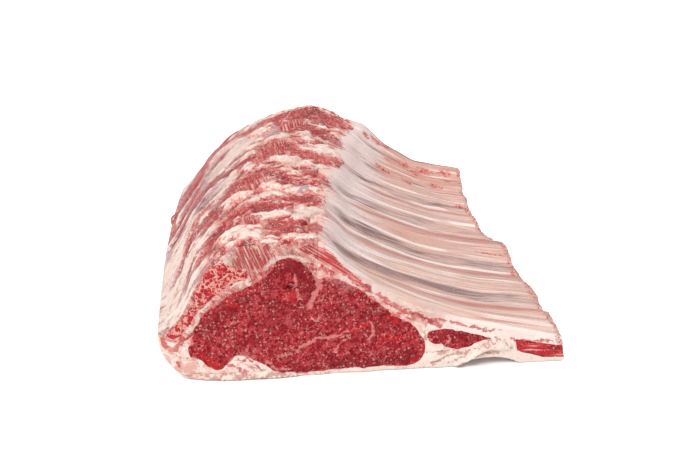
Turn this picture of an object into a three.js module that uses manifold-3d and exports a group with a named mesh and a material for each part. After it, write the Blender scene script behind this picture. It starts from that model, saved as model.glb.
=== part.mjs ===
// A bone-in rib rack of beef, fat side down and rib side up.
//
// Millimetres, +Z up. X runs across the cut face, from the spine side on the left to the sawn rib
// ends on the right. Y runs along the spine, from the near cut face to the far one. The origin is
// the middle of the footprint, on the flat base.
//
// The whole rack is lofted first, and each piece is then taken out of it in turn: the muscles that
// run through from cut face to cut face, the bones, the rib wall, the meat along the spine, and
// last the fat cap, which is what remains.

import * as THREE from 'three';
import { mergeVertices } from 'three/addons/utils/BufferGeometryUtils.js';
import Module from 'manifold-3d';

const wasm = await Module();
wasm.setup();

// ---------------------------------------------------------------- driving dimensions

const LENGTH = 320;              // near cut face to far cut face
const WIDTH = 292;               // spine side to sawn rib ends
const HALF_LENGTH = LENGTH / 2;
const HALF_WIDTH = WIDTH / 2;
const GAP = 0.3;                 // clearance between neighbouring pieces
const OVERSHOOT = 12;            // how far a cutting body runs past the rack

// The upper outline of the rack from the spine side's widest bulge to the sawn rib ends, as
// [x, z] at the near cut face, halfway along, and at the far cut face.
const UPPER_OUTLINE = [
  { at: 'widest bulge of the spine side', near: [-140, 34], middle: [-146, 34], far: [-145, 24] },
  { at: 'lower side', near: [-124, 52], middle: [-130, 56], far: [-127, 44] },
  { at: 'upper side', near: [-111, 74], middle: [-112, 78], far: [-100, 70] },
  { at: 'shoulder', near: [-88, 97], middle: [-76, 99], far: [-58, 97] },
  { at: 'crest of the backbone strip', near: [-58, 100], middle: [-42, 103], far: [-18, 107] },
  { at: 'heads of the ribs', near: [-30, 98], middle: [-8, 99], far: [27, 92] },
  { at: 'necks of the ribs', near: [-10, 77], middle: [12, 79], far: [44, 82] },
  { at: 'upper bend', near: [20, 56], middle: [38, 60], far: [62, 64] },
  { at: 'middle of the wall', near: [60, 38], middle: [72, 43], far: [86, 49] },
  { at: 'lower bend', near: [100, 26], middle: [106, 32], far: [112, 41] },
  { at: 'sawn rib ends', near: [143, 15], middle: [144, 24], far: [143, 35] },
];
const HEAD_MARK = 5;
const END_MARK = UPPER_OUTLINE.length - 1;

// The sawn edge of the rib ends in plan, as [y, x]: it steps in behind the third rib.
const SAWN_EDGE = [
  [-160, 143], [-106, 141], [-55, 141], [-3, 142], [18, 129], [68, 130], [104, 133], [160, 141],
];
const SAWN_FLARE = 3;            // how far the foot of the sawn face stands out from its top
const SAWN_FOOT_HEIGHT = 3;      // of the small bevel at that foot
const SAWN_WAIST = { out: 0.6, up: 0.5 };   // shares of its flare and height where the face bends
const SAWN_FOLLOW = 0.5;         // how far the lower bend moves with the sawn edge
const SIDE_FOOT_INSET = 30;      // from the widest bulge in to where the base is flat

// The ribs, as the y of their centre lines at the heads and at the sawn ends.
const RIB_HEADS_Y = [-160, -126, -72, -18, 36, 92, 145];
const RIB_ENDS_Y = [-150, -95, -26, 34, 82, 116, 151];
const RIB_SPACING = 50;          // beyond the first and the last rib
const RIB_BEND = 1.4;            // how soon a rib takes up its slant
const RIB_WIDTH = 27;
const RIB_NECK_SHARE = 0.6;      // of that width, at the head
const RIB_TAPER = [-0.1, 0.3];   // shares of the wall's run over which a rib widens
const RIB_DEPTH_SHARE = 0.68;    // of the wall's thickness
const RIB_START = 0.02;          // share of the wall's run where a rib begins
const RIB_START_CUT = 0.06;      // and where the first one, cut by the near face, begins
const RIB_FINISH = 1.12;         // past the sawn edge, which trims it
const WALL_RUN = 200;            // length of the wall from the heads to the sawn edge
const RIDGE_HEIGHT = 3.4;        // ridge of a rib over the valley beside it
const RIDGE_FULLNESS = 0.8;      // below 1 the ridges are broad and the valleys narrow
const RIDGE_MEAN = 0.6;          // share of the ridge that lies below the mean surface
const RIDGE_FADE = 0.12;         // share of the wall over which the ridges rise from the strip
const WALL_NEAR = 9;             // thickness of the rib wall at the near cut face
const WALL_FAR = 15;             // and at the far one

// The big round muscle, as [x, z] on the near cut face, clockwise from its left end.
const EYE_OUTLINE = [
  [-116, 26], [-112, 42], [-96, 58], [-74, 68], [-58, 84], [-48, 88], [-38, 82], [-31, 71],
  [-12, 68], [8, 54], [30, 37], [43, 20], [40, 8], [20, 4], [-20, 3], [-52, 3], [-70, 10],
  [-86, 16], [-94, 9], [-108, 10],
];
const EYE_FAR_SCALE = new THREE.Vector2(1.03, 0.99);
const EYE_FAR_SHIFT = new THREE.Vector2(8, 0);

// The small muscles of the thin end, as [x, z] on the near cut face.
const TAIL_OUTLINE = [[45, 23], [54, 28], [66, 27], [80, 23], [90, 18], [78, 14], [62, 15], [50, 18]];
const TAIL_FAR_SHIFT = new THREE.Vector2(10, 6);
const STRIP_INNER_WIDTH = 36;    // of the raw strip under the rib ends
const STRIP_FULL_WIDTH = 0.6;    // share of that width where the strip has its full height
const STRIP_FLOOR = 3;           // fat left below that strip
const STRIP_TIP_RISE = 4;        // its inner tip over that floor
const STRIP_LEAST_HEIGHT = 5;
const STRIP_ROOF_SHARE = 0.62;   // of the height of the sawn ends

// The split spine bone that shows on the near cut face, as [x, z], and how deep it goes.
const SPINE_BONE_OUTLINE = [
  [-131, 32], [-122, 43], [-114, 56], [-110, 68], [-105, 78], [-98, 85], [-88, 82], [-79, 78],
  [-81, 73], [-92, 68], [-103, 58], [-114, 45], [-126, 32],
];
const SPINE_BONE_DEPTH = 16;

// The sawn bone stubs along the backbone strip: place on the strip, half sizes, and turn.
const STUBS = [
  { across: -88, y: -138, half: [17, 15, 8], turn: 25 },
  { across: -82, y: -69, half: [14, 12, 8], turn: 20 },
  { across: -58, y: -58, half: [15, 9, 7], turn: -15 },
  { across: -46, y: 3, half: [16, 9, 7], turn: 10 },
  { across: -64, y: 104, half: [15, 17, 7], turn: 30 },
];

const STUB_SINK = 0.35;          // share of its half height that a stub is let in

// Where the spine meat ends and the fat cap begins, as [x, z] on any section.
const SPINE_MEAT_FLOOR = [[-170, 36], [-146, 29], [-128, 22], [-112, 34], [-60, 50], [-30, 62]];
const NECK_MEAT = 14;            // how far that meat runs in under the necks of the ribs

const STATIONS = 31;             // sections along the rack
const MUSCLE_STATIONS = 6;
const STRIP_STATIONS = 12;
const WALL_STATIONS = 9;
const MEAT_STATIONS = 5;
const STEPS_PER_MARK = 2;        // points between two marks of the upper outline
const RIB_STATIONS = 8;
const BASE_STEPS = 5;
const FOOT_STEPS = 4;
const STUB_SEGMENTS = [12, 7];   // round and up
const SHARPEST_CORNER = 0.15;    // keeps the corner of a grown outline from running away
const SAME_POINT = 1e-4;         // points closer than this are one
const TANGENT_STEP = 0.2;        // of a mark, to find the direction of the outline

// The uneven spine side and backbone strip, as two crossing waves.
const LUMP_HEIGHT = 1.5;
const LUMP_WAVES = [
  { every: 7.5, slant: 2.1 },
  { every: 17, slant: -1.3 },
];
const LUMP_RISE = [0.2, 1.5];    // marks over which the lumps begin
const LUMP_FALL = [HEAD_MARK - 0.3, HEAD_MARK + 0.2];

// One side of a rib's section: share of its half width, and 1 for past its face, -1 for its back.
const RIB_SIDE = [[1, 1], [1, -0.4], [0.5, -1]];
const RIB_SECTION = [...RIB_SIDE.map(([side, level]) => [-side, level]), ...RIB_SIDE.toReversed()];

// Colour and roughness of each kind of piece.
const FINISHES = {
  leanMeat: { color: 0xa33c3c, roughness: 0.45 },
  darkMeat: { color: 0x8f2a2c, roughness: 0.45 },
  rawMeat: { color: 0xc8383a, roughness: 0.45 },
  marrowBone: { color: 0xd4605a, roughness: 0.6 },
  sawnBone: { color: 0xf0dccd, roughness: 0.55 },
  ribBone: { color: 0xf1dccf, roughness: 0.4 },
  membrane: { color: 0xd9b3ab, roughness: 0.35 },
  tornMeat: { color: 0xc77a76, roughness: 0.5 },
  fat: { color: 0xf5e2d4, roughness: 0.5 },
};

// ---------------------------------------------------------------- small helpers

const lerp = THREE.MathUtils.lerp;
const along = (v) => lerp(-HALF_LENGTH, HALF_LENGTH, v);
const share = (y) => (y + HALF_LENGTH) / LENGTH;

/** Value of a polyline [[key, value], ...] at a key. */
function follow(points, key) {
  const next = points.findIndex(([k]) => k >= key);
  if (next === 0) return points[0][1];
  if (next < 0) return points[points.length - 1][1];
  const [k0, v0] = points[next - 1];
  const [k1, v1] = points[next];
  return lerp(v0, v1, (key - k0) / (k1 - k0));
}

/** The three given sections blended by one parabola. */
function blend(near, middle, far, v) {
  return near * (1 - v) * (1 - 2 * v) + middle * 4 * v * (1 - v) + far * v * (2 * v - 1);
}

/** Unit vector to the left of the way from one point to another. */
function leftOf(from, to) {
  const run = to.clone().sub(from).normalize();
  return new THREE.Vector2(-run.y, run.x);
}

/** Outward normals of a polyline that runs clockwise round the rack. */
function normalsOf(points) {
  return points.map((_, i) => {
    const before = points[Math.max(i - 1, 0)];
    const after = points[Math.min(i + 1, points.length - 1)];
    return leftOf(before, after);
  });
}

/** A closed outline grown by an even margin; it runs clockwise in x and z. */
function grown(outline, margin) {
  const count = outline.length;
  return outline.map((point, i) => {
    const before = leftOf(outline[(i + count - 1) % count], point);
    const after = leftOf(point, outline[(i + 1) % count]);
    const opening = Math.max(1 + before.dot(after), SHARPEST_CORNER);
    return point.clone().addScaledVector(before.add(after), margin / opening);
  });
}

/** Triangles over a flat end, wound with the outline (1) or against it (-1). */
function flatEnd(outline, firstVertex, winding) {
  const wanted = Math.sign(THREE.ShapeUtils.area(outline)) * winding;
  return THREE.ShapeUtils.triangulateShape(outline, []).flatMap(([a, b, c]) => {
    const turned = Math.sign(THREE.ShapeUtils.area([outline[a], outline[b], outline[c]])) !== wanted;
    return (turned ? [a, c, b] : [a, b, c]).map((k) => k + firstVertex);
  });
}

/** A closed body through rings of points, with flat ends. */
function loft(rings, endOutline) {
  const size = rings[0].length;
  const positions = rings.flat().flatMap((p) => [p.x, p.y, p.z]);
  const faces = [];
  for (let r = 0; r + 1 < rings.length; r += 1) {
    for (let i = 0; i < size; i += 1) {
      const j = (i + 1) % size;
      const a = r * size + i;
      const b = r * size + j;
      faces.push(a, b, b + size, a, b + size, a + size);
    }
  }
  faces.push(...flatEnd(endOutline(rings[0]), 0, -1));
  faces.push(...flatEnd(endOutline(rings.at(-1)), (rings.length - 1) * size, 1));
  const geometry = new THREE.BufferGeometry();
  geometry.setAttribute('position', new THREE.Float32BufferAttribute(positions, 3));
  geometry.setIndex(faces);
  return geometry;
}

const flatXZ = (ring) => ring.map((p) => new THREE.Vector2(p.x, p.z));

/** A body whose sections across Y are given for each y. */
function loftAlongY(stations, outlineAt) {
  const rings = stations.map((y) => outlineAt(y).map((p) => new THREE.Vector3(p.x, y, p.y)));
  return loft(rings, flatXZ);
}

/** Evenly spaced values from low to high. */
function steps(low, high, count) {
  return Array.from({ length: count }, (_, i) => lerp(low, high, i / (count - 1)));
}

function signedVolume(vertices, triangles) {
  const p = (k) => new THREE.Vector3().fromArray(vertices, 3 * k);
  let volume = 0;
  for (let t = 0; t < triangles.length; t += 3) {
    volume += p(triangles[t]).dot(p(triangles[t + 1]).cross(p(triangles[t + 2]))) / 6;
  }
  return volume;
}

/** A closed geometry as a solid for cutting and joining. */
function solid(geometry) {
  const bare = geometry.clone();
  bare.deleteAttribute('normal');
  bare.deleteAttribute('uv');
  const merged = mergeVertices(bare, SAME_POINT);
  const vertProperties = new Float32Array(merged.attributes.position.array);
  const triVerts = new Uint32Array(merged.index.array);
  if (signedVolume(vertProperties, triVerts) < 0) {
    for (let t = 0; t < triVerts.length; t += 3) {
      [triVerts[t + 1], triVerts[t + 2]] = [triVerts[t + 2], triVerts[t + 1]];
    }
  }
  return new wasm.Manifold(new wasm.Mesh({ numProp: 3, vertProperties, triVerts }));
}

/** A finished piece as a named mesh with its own finish. */
function piece(name, body, finish) {
  const { vertProperties, triVerts } = body.getMesh();
  const geometry = new THREE.BufferGeometry();
  geometry.setAttribute('position', new THREE.BufferAttribute(new Float32Array(vertProperties), 3));
  geometry.setIndex(new THREE.BufferAttribute(new Uint32Array(triVerts), 1));
  geometry.computeVertexNormals();
  const material = new THREE.MeshStandardMaterial({ ...finish, metalness: 0 });
  material.name = name;
  const mesh = new THREE.Mesh(geometry, material);
  mesh.name = name;
  return mesh;
}

// ---------------------------------------------------------------- form of the rack

/** The marks of the upper outline at a share of the length. */
function marksAt(v) {
  const marks = UPPER_OUTLINE.map(({ near, middle, far }) => new THREE.Vector2(
    blend(near[0], middle[0], far[0], v),
    blend(near[1], middle[1], far[1], v),
  ));
  const drawnIn = follow(SAWN_EDGE, along(v)) - marks[END_MARK].x;
  marks[END_MARK].x += drawnIn;
  marks[END_MARK - 1].x += drawnIn * SAWN_FOLLOW;
  return marks;
}

/** How much of its slant a rib has taken up at a share of the wall's run. */
const slantAt = (outward) => 1 - (1 - outward) ** RIB_BEND;

/** Which rib a place on the wall belongs to: whole numbers are centre lines. */
function ribPhase(y, outward) {
  const lines = RIB_HEADS_Y.map((head, i) => lerp(head, RIB_ENDS_Y[i], slantAt(outward)));
  if (y <= lines[0]) return (y - lines[0]) / RIB_SPACING;
  for (let i = 1; i < lines.length; i += 1) {
    if (y <= lines[i]) return i - 1 + (y - lines[i - 1]) / (lines[i] - lines[i - 1]);
  }
  return lines.length - 1 + (y - lines.at(-1)) / RIB_SPACING;
}

/** Height of the ribbed inner side over its mean surface. */
function ridge(y, outward) {
  const crest = Math.abs(Math.cos(Math.PI * ribPhase(y, outward)));
  const fadeIn = THREE.MathUtils.smoothstep(outward, 0, RIDGE_FADE);
  return RIDGE_HEIGHT * fadeIn * (crest ** RIDGE_FULLNESS - RIDGE_MEAN);
}

/** Unevenness of the spine side and of the backbone strip. */
function lump(y, mark) {
  const [short, long] = LUMP_WAVES.map(({ every, slant }) => y / every + mark * slant);
  const rise = THREE.MathUtils.smoothstep(mark, ...LUMP_RISE);
  const fall = 1 - THREE.MathUtils.smoothstep(mark, ...LUMP_FALL);
  return LUMP_HEIGHT * Math.sin(short) * Math.cos(long) * rise * fall;
}

/** Points of the upper outline from one mark to another, moved out by a distance. */
function upperOutline(y, from, to, stepCount, outwardBy = 0, shaped = true) {
  const curve = new THREE.SplineCurve(marksAt(share(y)));
  const count = (to - from) * stepCount;
  const samples = steps(from, to, count + 1).map((mark) => (
    { mark, point: curve.getPoint(mark / END_MARK) }
  ));
  const normals = normalsOf(samples.map(({ point }) => point));
  return samples.map(({ mark, point }, i) => {
    const wallShare = (mark - HEAD_MARK) / (END_MARK - HEAD_MARK);
    const relief = wallShare > 0 ? ridge(y, wallShare) : lump(y, mark);
    return point.clone().addScaledVector(normals[i], outwardBy + (shaped ? relief : 0));
  });
}

/** The whole closed section of the rack at a given y, clockwise from the widest bulge. */
function section(y) {
  const upper = upperOutline(y, 0, END_MARK, STEPS_PER_MARK);
  upper[0].x = Math.max(upper[0].x, -HALF_WIDTH);
  const top = upper.at(-1);
  const footX = Math.min(follow(SAWN_EDGE, y) + SAWN_FLARE, HALF_WIDTH);
  const sawn = [
    new THREE.Vector2(lerp(top.x, footX, SAWN_WAIST.out), top.y * SAWN_WAIST.up),
    new THREE.Vector2(footX, SAWN_FOOT_HEIGHT),
  ];
  const bulge = upper[0];
  const baseLeft = bulge.x + SIDE_FOOT_INSET;
  const baseRight = footX - SAWN_FOOT_HEIGHT / 2;
  const base = steps(baseRight, baseLeft, BASE_STEPS).map((x) => new THREE.Vector2(x, 0));
  const foot = steps(0, Math.PI / 2, FOOT_STEPS + 2).slice(1, -1).map((angle) => new THREE.Vector2(
    baseLeft - SIDE_FOOT_INSET * Math.sin(angle),
    bulge.y * (1 - Math.cos(angle)),
  ));
  return [...upper, ...sawn, ...base, ...foot];
}

const wallThickness = (y) => lerp(WALL_NEAR, WALL_FAR, share(y));
const throughStations = (count) => steps(-HALF_LENGTH - OVERSHOOT, HALF_LENGTH + OVERSHOOT, count);

function wholeRack() {
  return solid(loftAlongY(steps(-HALF_LENGTH, HALF_LENGTH, STATIONS), section));
}

// ---------------------------------------------------------------- cutting bodies of the pieces

const pointsOf = (outline) => outline.map(([x, z]) => new THREE.Vector2(x, z));

/** A muscle that runs through from cut face to cut face. */
function throughMuscle(outline, scale, shift, margin) {
  const near = grown(pointsOf(outline), margin);
  return solid(loftAlongY(throughStations(MUSCLE_STATIONS), (y) => near.map((p) => new THREE.Vector2(
    p.x * lerp(1, scale.x, share(y)) + shift.x * share(y),
    p.y * lerp(1, scale.y, share(y)) + shift.y * share(y),
  ))));
}

function eyeMuscle(margin) {
  return throughMuscle(EYE_OUTLINE, EYE_FAR_SCALE, EYE_FAR_SHIFT, margin);
}

function tailMuscle(margin) {
  return throughMuscle(TAIL_OUTLINE, new THREE.Vector2(1, 1), TAIL_FAR_SHIFT, margin);
}

/** The raw strip under the rib ends: a wedge that opens towards the sawn edge. */
function endStrip(margin) {
  return solid(loftAlongY(throughStations(STRIP_STATIONS), (y) => {
    const edge = follow(SAWN_EDGE, y);
    const height = marksAt(share(y))[END_MARK].y;
    const roof = Math.max(height * STRIP_ROOF_SHARE, STRIP_FLOOR + STRIP_LEAST_HEIGHT);
    const shoulder = edge - STRIP_INNER_WIDTH * STRIP_FULL_WIDTH;
    return grown([
      new THREE.Vector2(edge - STRIP_INNER_WIDTH, STRIP_FLOOR + STRIP_TIP_RISE),
      new THREE.Vector2(shoulder, roof),
      new THREE.Vector2(edge + OVERSHOOT, roof),
      new THREE.Vector2(edge + OVERSHOOT, STRIP_FLOOR),
      new THREE.Vector2(shoulder, STRIP_FLOOR),
    ], margin);
  }));
}

/** The split spine bone at the near cut face. */
function spineBone(margin) {
  const outline = grown(pointsOf(SPINE_BONE_OUTLINE), margin);
  const back = -HALF_LENGTH + SPINE_BONE_DEPTH + margin;
  return solid(loftAlongY([-HALF_LENGTH - OVERSHOOT, back], () => outline));
}

/** A sawn bone stub: a squashed ball let into the backbone strip. */
function boneStub({ across, y, half, turn }, margin) {
  const marks = marksAt(share(y));
  const ground = follow(marks.map((p) => [p.x, p.y]), across);
  const ball = new THREE.SphereGeometry(1, ...STUB_SEGMENTS);
  ball.scale(half[0] + margin, half[1] + margin, half[2] + margin);
  ball.rotateZ(THREE.MathUtils.degToRad(turn));
  ball.translate(across, y, ground - half[2] * STUB_SINK);
  return solid(ball);
}

/** One rib: a bar along its centre line, its back in the wall and its face in the ridge. */
function rib(index, margin) {
  const start = (index === 0 ? RIB_START_CUT : RIB_START) - margin / WALL_RUN;
  const rings = steps(start, RIB_FINISH, RIB_STATIONS).map((outward) => {
    const centre = lerp(RIB_HEADS_Y[index], RIB_ENDS_Y[index], slantAt(Math.min(outward, 1)));
    const taper = THREE.MathUtils.smoothstep(outward, ...RIB_TAPER);
    const halfWidth = RIB_WIDTH / 2 * lerp(RIB_NECK_SHARE, 1, taper) + margin;
    return ribSection(centre, halfWidth, outward, margin);
  });
  return solid(loft(rings, (ring) => ring.map((p) => new THREE.Vector2(p.y, p.z))));
}

/** One closed section of a rib, across its centre line. */
function ribSection(centre, halfWidth, outward, margin) {
  return RIB_SECTION.map(([side, level]) => {
    const y = centre + side * halfWidth;
    const clampedY = THREE.MathUtils.clamp(y, -HALF_LENGTH, HALF_LENGTH);
    const { point, normal } = wallPoint(clampedY, outward);
    const depth = wallThickness(clampedY) * RIB_DEPTH_SHARE + margin;
    const offset = level > 0 ? OVERSHOOT / 2 : level * depth;
    return new THREE.Vector3(point.x + normal.x * offset, y, point.y + normal.y * offset);
  });
}

/** A point of the mean wall surface and its normal; past the sawn edge it runs straight on. */
function wallPoint(y, outward) {
  const curve = new THREE.SplineCurve(marksAt(share(y)));
  const mark = HEAD_MARK + Math.min(outward, 1) * (END_MARK - HEAD_MARK);
  const point = curve.getPoint(mark / END_MARK);
  const before = curve.getPoint((mark - TANGENT_STEP) / END_MARK);
  const run = point.clone().sub(before).normalize();
  const normal = new THREE.Vector2(-run.y, run.x);
  const past = Math.max(outward - 1, 0) * (HALF_WIDTH + OVERSHOOT);
  return { point: point.addScaledVector(run, past), normal };
}

/** The layer of meat and skin between and under the ribs. */
function ribWall(margin) {
  return solid(loftAlongY(throughStations(WALL_STATIONS), (y) => {
    const inside = THREE.MathUtils.clamp(y, -HALF_LENGTH, HALF_LENGTH);
    const above = upperOutline(inside, HEAD_MARK, END_MARK, 1, OVERSHOOT, false);
    const depth = wallThickness(inside) + margin;
    const below = upperOutline(inside, HEAD_MARK, END_MARK, STEPS_PER_MARK, -depth, false);
    const beyondAbove = above.at(-1).clone().add(new THREE.Vector2(3 * OVERSHOOT, 0));
    const beyondBelow = below.at(-1).clone().add(new THREE.Vector2(3 * OVERSHOOT, -OVERSHOOT / 3));
    const shift = new THREE.Vector2(-margin, 0);
    above[0].add(shift);
    below[0].add(shift);
    return [...above, beyondAbove, beyondBelow, ...below.reverse()];
  }));
}

/** The meat along the spine, above the floor line and up to the heads of the ribs. */
function spineMeat(margin) {
  return solid(loftAlongY(throughStations(MEAT_STATIONS), (y) => {
    const inside = THREE.MathUtils.clamp(y, -HALF_LENGTH, HALF_LENGTH);
    const head = marksAt(share(inside))[HEAD_MARK];
    const floor = pointsOf(SPINE_MEAT_FLOOR).map((p) => new THREE.Vector2(p.x, p.y - margin));
    const neckX = head.x + NECK_MEAT + margin;
    const ceiling = head.y + 3 * OVERSHOOT;
    return [
      ...floor, new THREE.Vector2(neckX, floor.at(-1).y),
      new THREE.Vector2(neckX, ceiling),
      new THREE.Vector2(-HALF_WIDTH - 2 * OVERSHOOT, ceiling),
    ].reverse();
  }));
}

// ---------------------------------------------------------------- taking the pieces out

const rack = new THREE.Group();
let rest = wholeRack();

/** Takes one piece out of what is left of the rack, with the clearance round it. */
function takeOut(name, cutter, finish) {
  rack.add(piece(name, rest.intersect(cutter(0)), finish));
  rest = rest.subtract(cutter(GAP));
}

takeOut('eye_muscle', eyeMuscle, FINISHES.leanMeat);
takeOut('tail_muscle', tailMuscle, FINISHES.darkMeat);
takeOut('end_strip', endStrip, FINISHES.rawMeat);
takeOut('spine_bone', spineBone, FINISHES.marrowBone);
STUBS.forEach((stub, i) => {
  takeOut(`bone_stub_${i + 1}`, (margin) => boneStub(stub, margin), FINISHES.sawnBone);
});
RIB_HEADS_Y.forEach((_, i) => {
  takeOut(`rib_${i + 1}`, (margin) => rib(i, margin), FINISHES.ribBone);
});
takeOut('rib_wall', ribWall, FINISHES.membrane);
takeOut('spine_meat', spineMeat, FINISHES.tornMeat);
rack.add(piece('fat_cap', rest, FINISHES.fat));

export default rack;
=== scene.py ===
"""Looks of a raw, bone-in beef rib rack that lies fat side down, with its ribs on top.

The rack is worked out in millimetres, +Z up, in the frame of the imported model: X runs from the
spine side to the sawn rib ends and Y from the near cut face to the far one. Meshes are handed to
the scene in metres.
"""

import itertools
import math

import bmesh
import bpy
import numpy as np
from bpy.props import FloatProperty, FloatVectorProperty, PointerProperty
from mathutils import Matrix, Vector
from mathutils.geometry import delaunay_2d_cdt


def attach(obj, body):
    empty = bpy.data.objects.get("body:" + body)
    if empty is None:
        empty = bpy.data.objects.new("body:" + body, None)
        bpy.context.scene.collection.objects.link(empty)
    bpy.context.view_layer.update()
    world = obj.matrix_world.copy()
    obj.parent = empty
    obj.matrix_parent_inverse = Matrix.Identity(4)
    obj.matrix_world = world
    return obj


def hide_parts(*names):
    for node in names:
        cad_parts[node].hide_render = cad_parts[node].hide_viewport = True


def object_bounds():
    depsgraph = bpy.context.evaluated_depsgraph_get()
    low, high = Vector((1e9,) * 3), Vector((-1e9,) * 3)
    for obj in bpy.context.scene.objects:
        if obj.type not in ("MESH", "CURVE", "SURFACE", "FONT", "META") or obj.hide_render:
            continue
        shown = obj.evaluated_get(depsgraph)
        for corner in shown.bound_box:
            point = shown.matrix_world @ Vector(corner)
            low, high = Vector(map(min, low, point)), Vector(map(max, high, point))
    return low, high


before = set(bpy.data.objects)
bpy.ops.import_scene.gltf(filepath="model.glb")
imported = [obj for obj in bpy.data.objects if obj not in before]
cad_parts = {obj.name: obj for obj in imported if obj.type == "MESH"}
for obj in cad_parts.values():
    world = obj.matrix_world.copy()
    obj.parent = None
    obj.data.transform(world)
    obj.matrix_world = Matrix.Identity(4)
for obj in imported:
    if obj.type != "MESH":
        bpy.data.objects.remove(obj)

bl_info = {
    "name": "Bone-in rib rack",
    "version": (1, 0, 0),
    "blender": (4, 5, 0),
    "location": "View3D > Sidebar > Rib rack",
    "description": "Builds the meat, fat, bones and membrane of a raw rib rack",
    "category": "Add Mesh",
}

# ---------------------------------------------------------------- sizes of the rack, in millimetres

MM = 0.001
CAD_LOW, CAD_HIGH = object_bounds()
HALF_WIDTH = CAD_HIGH.x / MM
HALF_LENGTH = CAD_HIGH.y / MM
LENGTH = 2 * HALF_LENGTH

# The upper outline from the spine side's widest bulge (mark 0) to the sawn rib ends (mark 10), as
# (x, z) at the near cut face, halfway along, and at the far cut face.
UPPER_OUTLINE = (
    ((-140, 34), (-146, 34), (-145, 24)),
    ((-124, 52), (-130, 56), (-127, 44)),
    ((-111, 74), (-112, 78), (-100, 70)),
    ((-88, 97), (-76, 99), (-58, 97)),
    ((-58, 100), (-42, 103), (-18, 107)),
    ((-30, 98), (-8, 99), (27, 92)),
    ((-10, 77), (12, 79), (44, 82)),
    ((20, 56), (38, 60), (62, 64)),
    ((60, 38), (72, 43), (86, 49)),
    ((100, 26), (106, 32), (112, 41)),
    ((143, 15), (144, 24), (143, 35)),
)
NEAR_MARKS, MIDDLE_MARKS, FAR_MARKS = np.array(UPPER_OUTLINE, float).transpose(1, 0, 2)
HEAD_MARK = 5
END_MARK = 10
SAWN_EDGE_Y = (-160, -106, -55, -3, 18, 68, 104, 160)
SAWN_EDGE_X = (143, 141, 141, 142, 129, 130, 133, 141)
SAWN_FLARE = 3.0
SAWN_FOOT = 3.0
FOOT_INSET = 30.0

RIB_COUNT = 7
RIB_HEADS_Y = (-160, -126, -72, -18, 36, 92, 145)
RIB_ENDS_Y = (-150, -95, -26, 34, 82, 116, 151)
RIB_SPACING = 50.0
RIB_BEND = 1.4
RIB_HALF_WIDTH = 13.5
RIB_NECK_SHARE = 0.6
CHANNEL_SHARE = 0.68
WALL_RUN = 200.0

# The big round muscle and the small one of the thin end, as (x, z) on the near cut face.
EYE_OUTLINE = (
    (-119, 20), (-117, 33), (-112, 43), (-107, 50), (-98, 57), (-88, 63), (-76, 68), (-68, 73),
    (-61, 80), (-56, 86), (-49, 88), (-41, 84), (-36, 78), (-31, 71), (-24, 72), (-12, 68),
    (-3, 63), (5, 56), (13, 49), (20, 43), (30, 36), (39, 29), (44, 18), (42, 8), (34, 3),
    (18, 3), (-9, 3), (-37, 3), (-52, 3), (-61, 4), (-70, 10), (-80, 16), (-87, 17), (-93, 12),
    (-98, 7), (-105, 8), (-111, 13),
)
EYE_FAR_SCALE = np.array([1.03, 0.99])
EYE_FAR_SHIFT = np.array([8.0, 0.0])
TAIL_OUTLINE = (
    (46, 24.5), (48.5, 27.5), (56, 29.3), (66, 28), (77, 24.5), (84, 22.3), (91, 19.6),
    (86, 18.8), (80, 17), (75, 15), (70, 13.6), (64, 13.8), (56, 16.6), (50, 18.8), (47, 21.3),
)
TAIL_FAR_SHIFT = np.array([10.0, 6.0])
BAND_OUTLINE = (
    (-133, 33), (-124, 43), (-115, 56), (-111, 67), (-107, 76), (-101, 83), (-94, 86), (-88, 82),
    (-80, 79), (-79, 73), (-88, 70), (-98, 64), (-106, 57), (-112, 50), (-118, 43), (-125, 33),
    (-130, 31),
)
BAND_DEPTH = 16.0
STRIP_TIP = 0.84          # share of the wall's run at which the raw strip's tip lies
CUT_LEAN = 4.6            # how far the foot of the near cut face stands out

# The sawn bone stubs of the backbone strip: x, y, half sizes in plan, and turn in degrees.
STUBS = (
    (-88, -138, 15, 12, 25),
    (-82, -69, 12, 10, 20),
    (-58, -58, 13, 8, -15),
    (-46, 3, 14, 8, 10),
    (-64, 104, 13, 15, 30),
)
STUB_RISE = 2.4

FINE = 1.12               # spacing of points on what shows
FAR_SPACING = 1.4         # and on the far cut face
SAWN_SPACING = 1.1        # and on the sawn faces
COARSE_ROWS = 17
RIM_RADIUS = 1.8          # rounding of the rims of the spine meat and the fat
RIM_RUN = 3.0             # how far in from a cut face the rows lie closer together
CUT_REACH = 20.0          # how far in from a cut face its unevenness fades out
SIDE_ALLOWANCE = 7.0      # how far knobs of the spine side may stand out


# ---------------------------------------------------------------- numbers and noise

def lerp(low, high, share):
    return low + (high - low) * share


def smooth(low, high, value):
    """0 below low, 1 above high, and an even rise between them."""
    t = np.clip((value - low) / (high - low), 0.0, 1.0)
    return t * t * (3 - 2 * t)


LATTICE = 64


def noise(places, size, seed):
    """Smooth noise from -1 to 1 with bumps about size across, at places of two or three axes."""
    places = np.asarray(places, float) / size
    axes = places.shape[-1]
    table = np.random.default_rng(seed).uniform(-1, 1, (LATTICE,) * axes)
    cell = np.floor(places).astype(int)
    share = places - cell
    share = share * share * (3 - 2 * share)
    total = 0.0
    for corner in itertools.product((0, 1), repeat=axes):
        weight = np.prod(np.where(corner, share, 1 - share), axis=-1)
        index = (cell + np.array(corner)) % LATTICE
        total = total + weight * table[tuple(index[..., k] for k in range(axes))]
    return total


def rough_noise(places, size, seed, layers=3):
    """Noise with finer and weaker noise on top."""
    return sum(0.5 ** k * noise(places, size * 0.5 ** k, seed + k) for k in range(layers))


def together(*parts):
    """Coordinates side by side, as one array of places."""
    return np.stack(np.broadcast_arrays(*parts), axis=-1)


# ---------------------------------------------------------------- form of the rack

def share_along(y):
    return (y + HALF_LENGTH) / LENGTH


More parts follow.
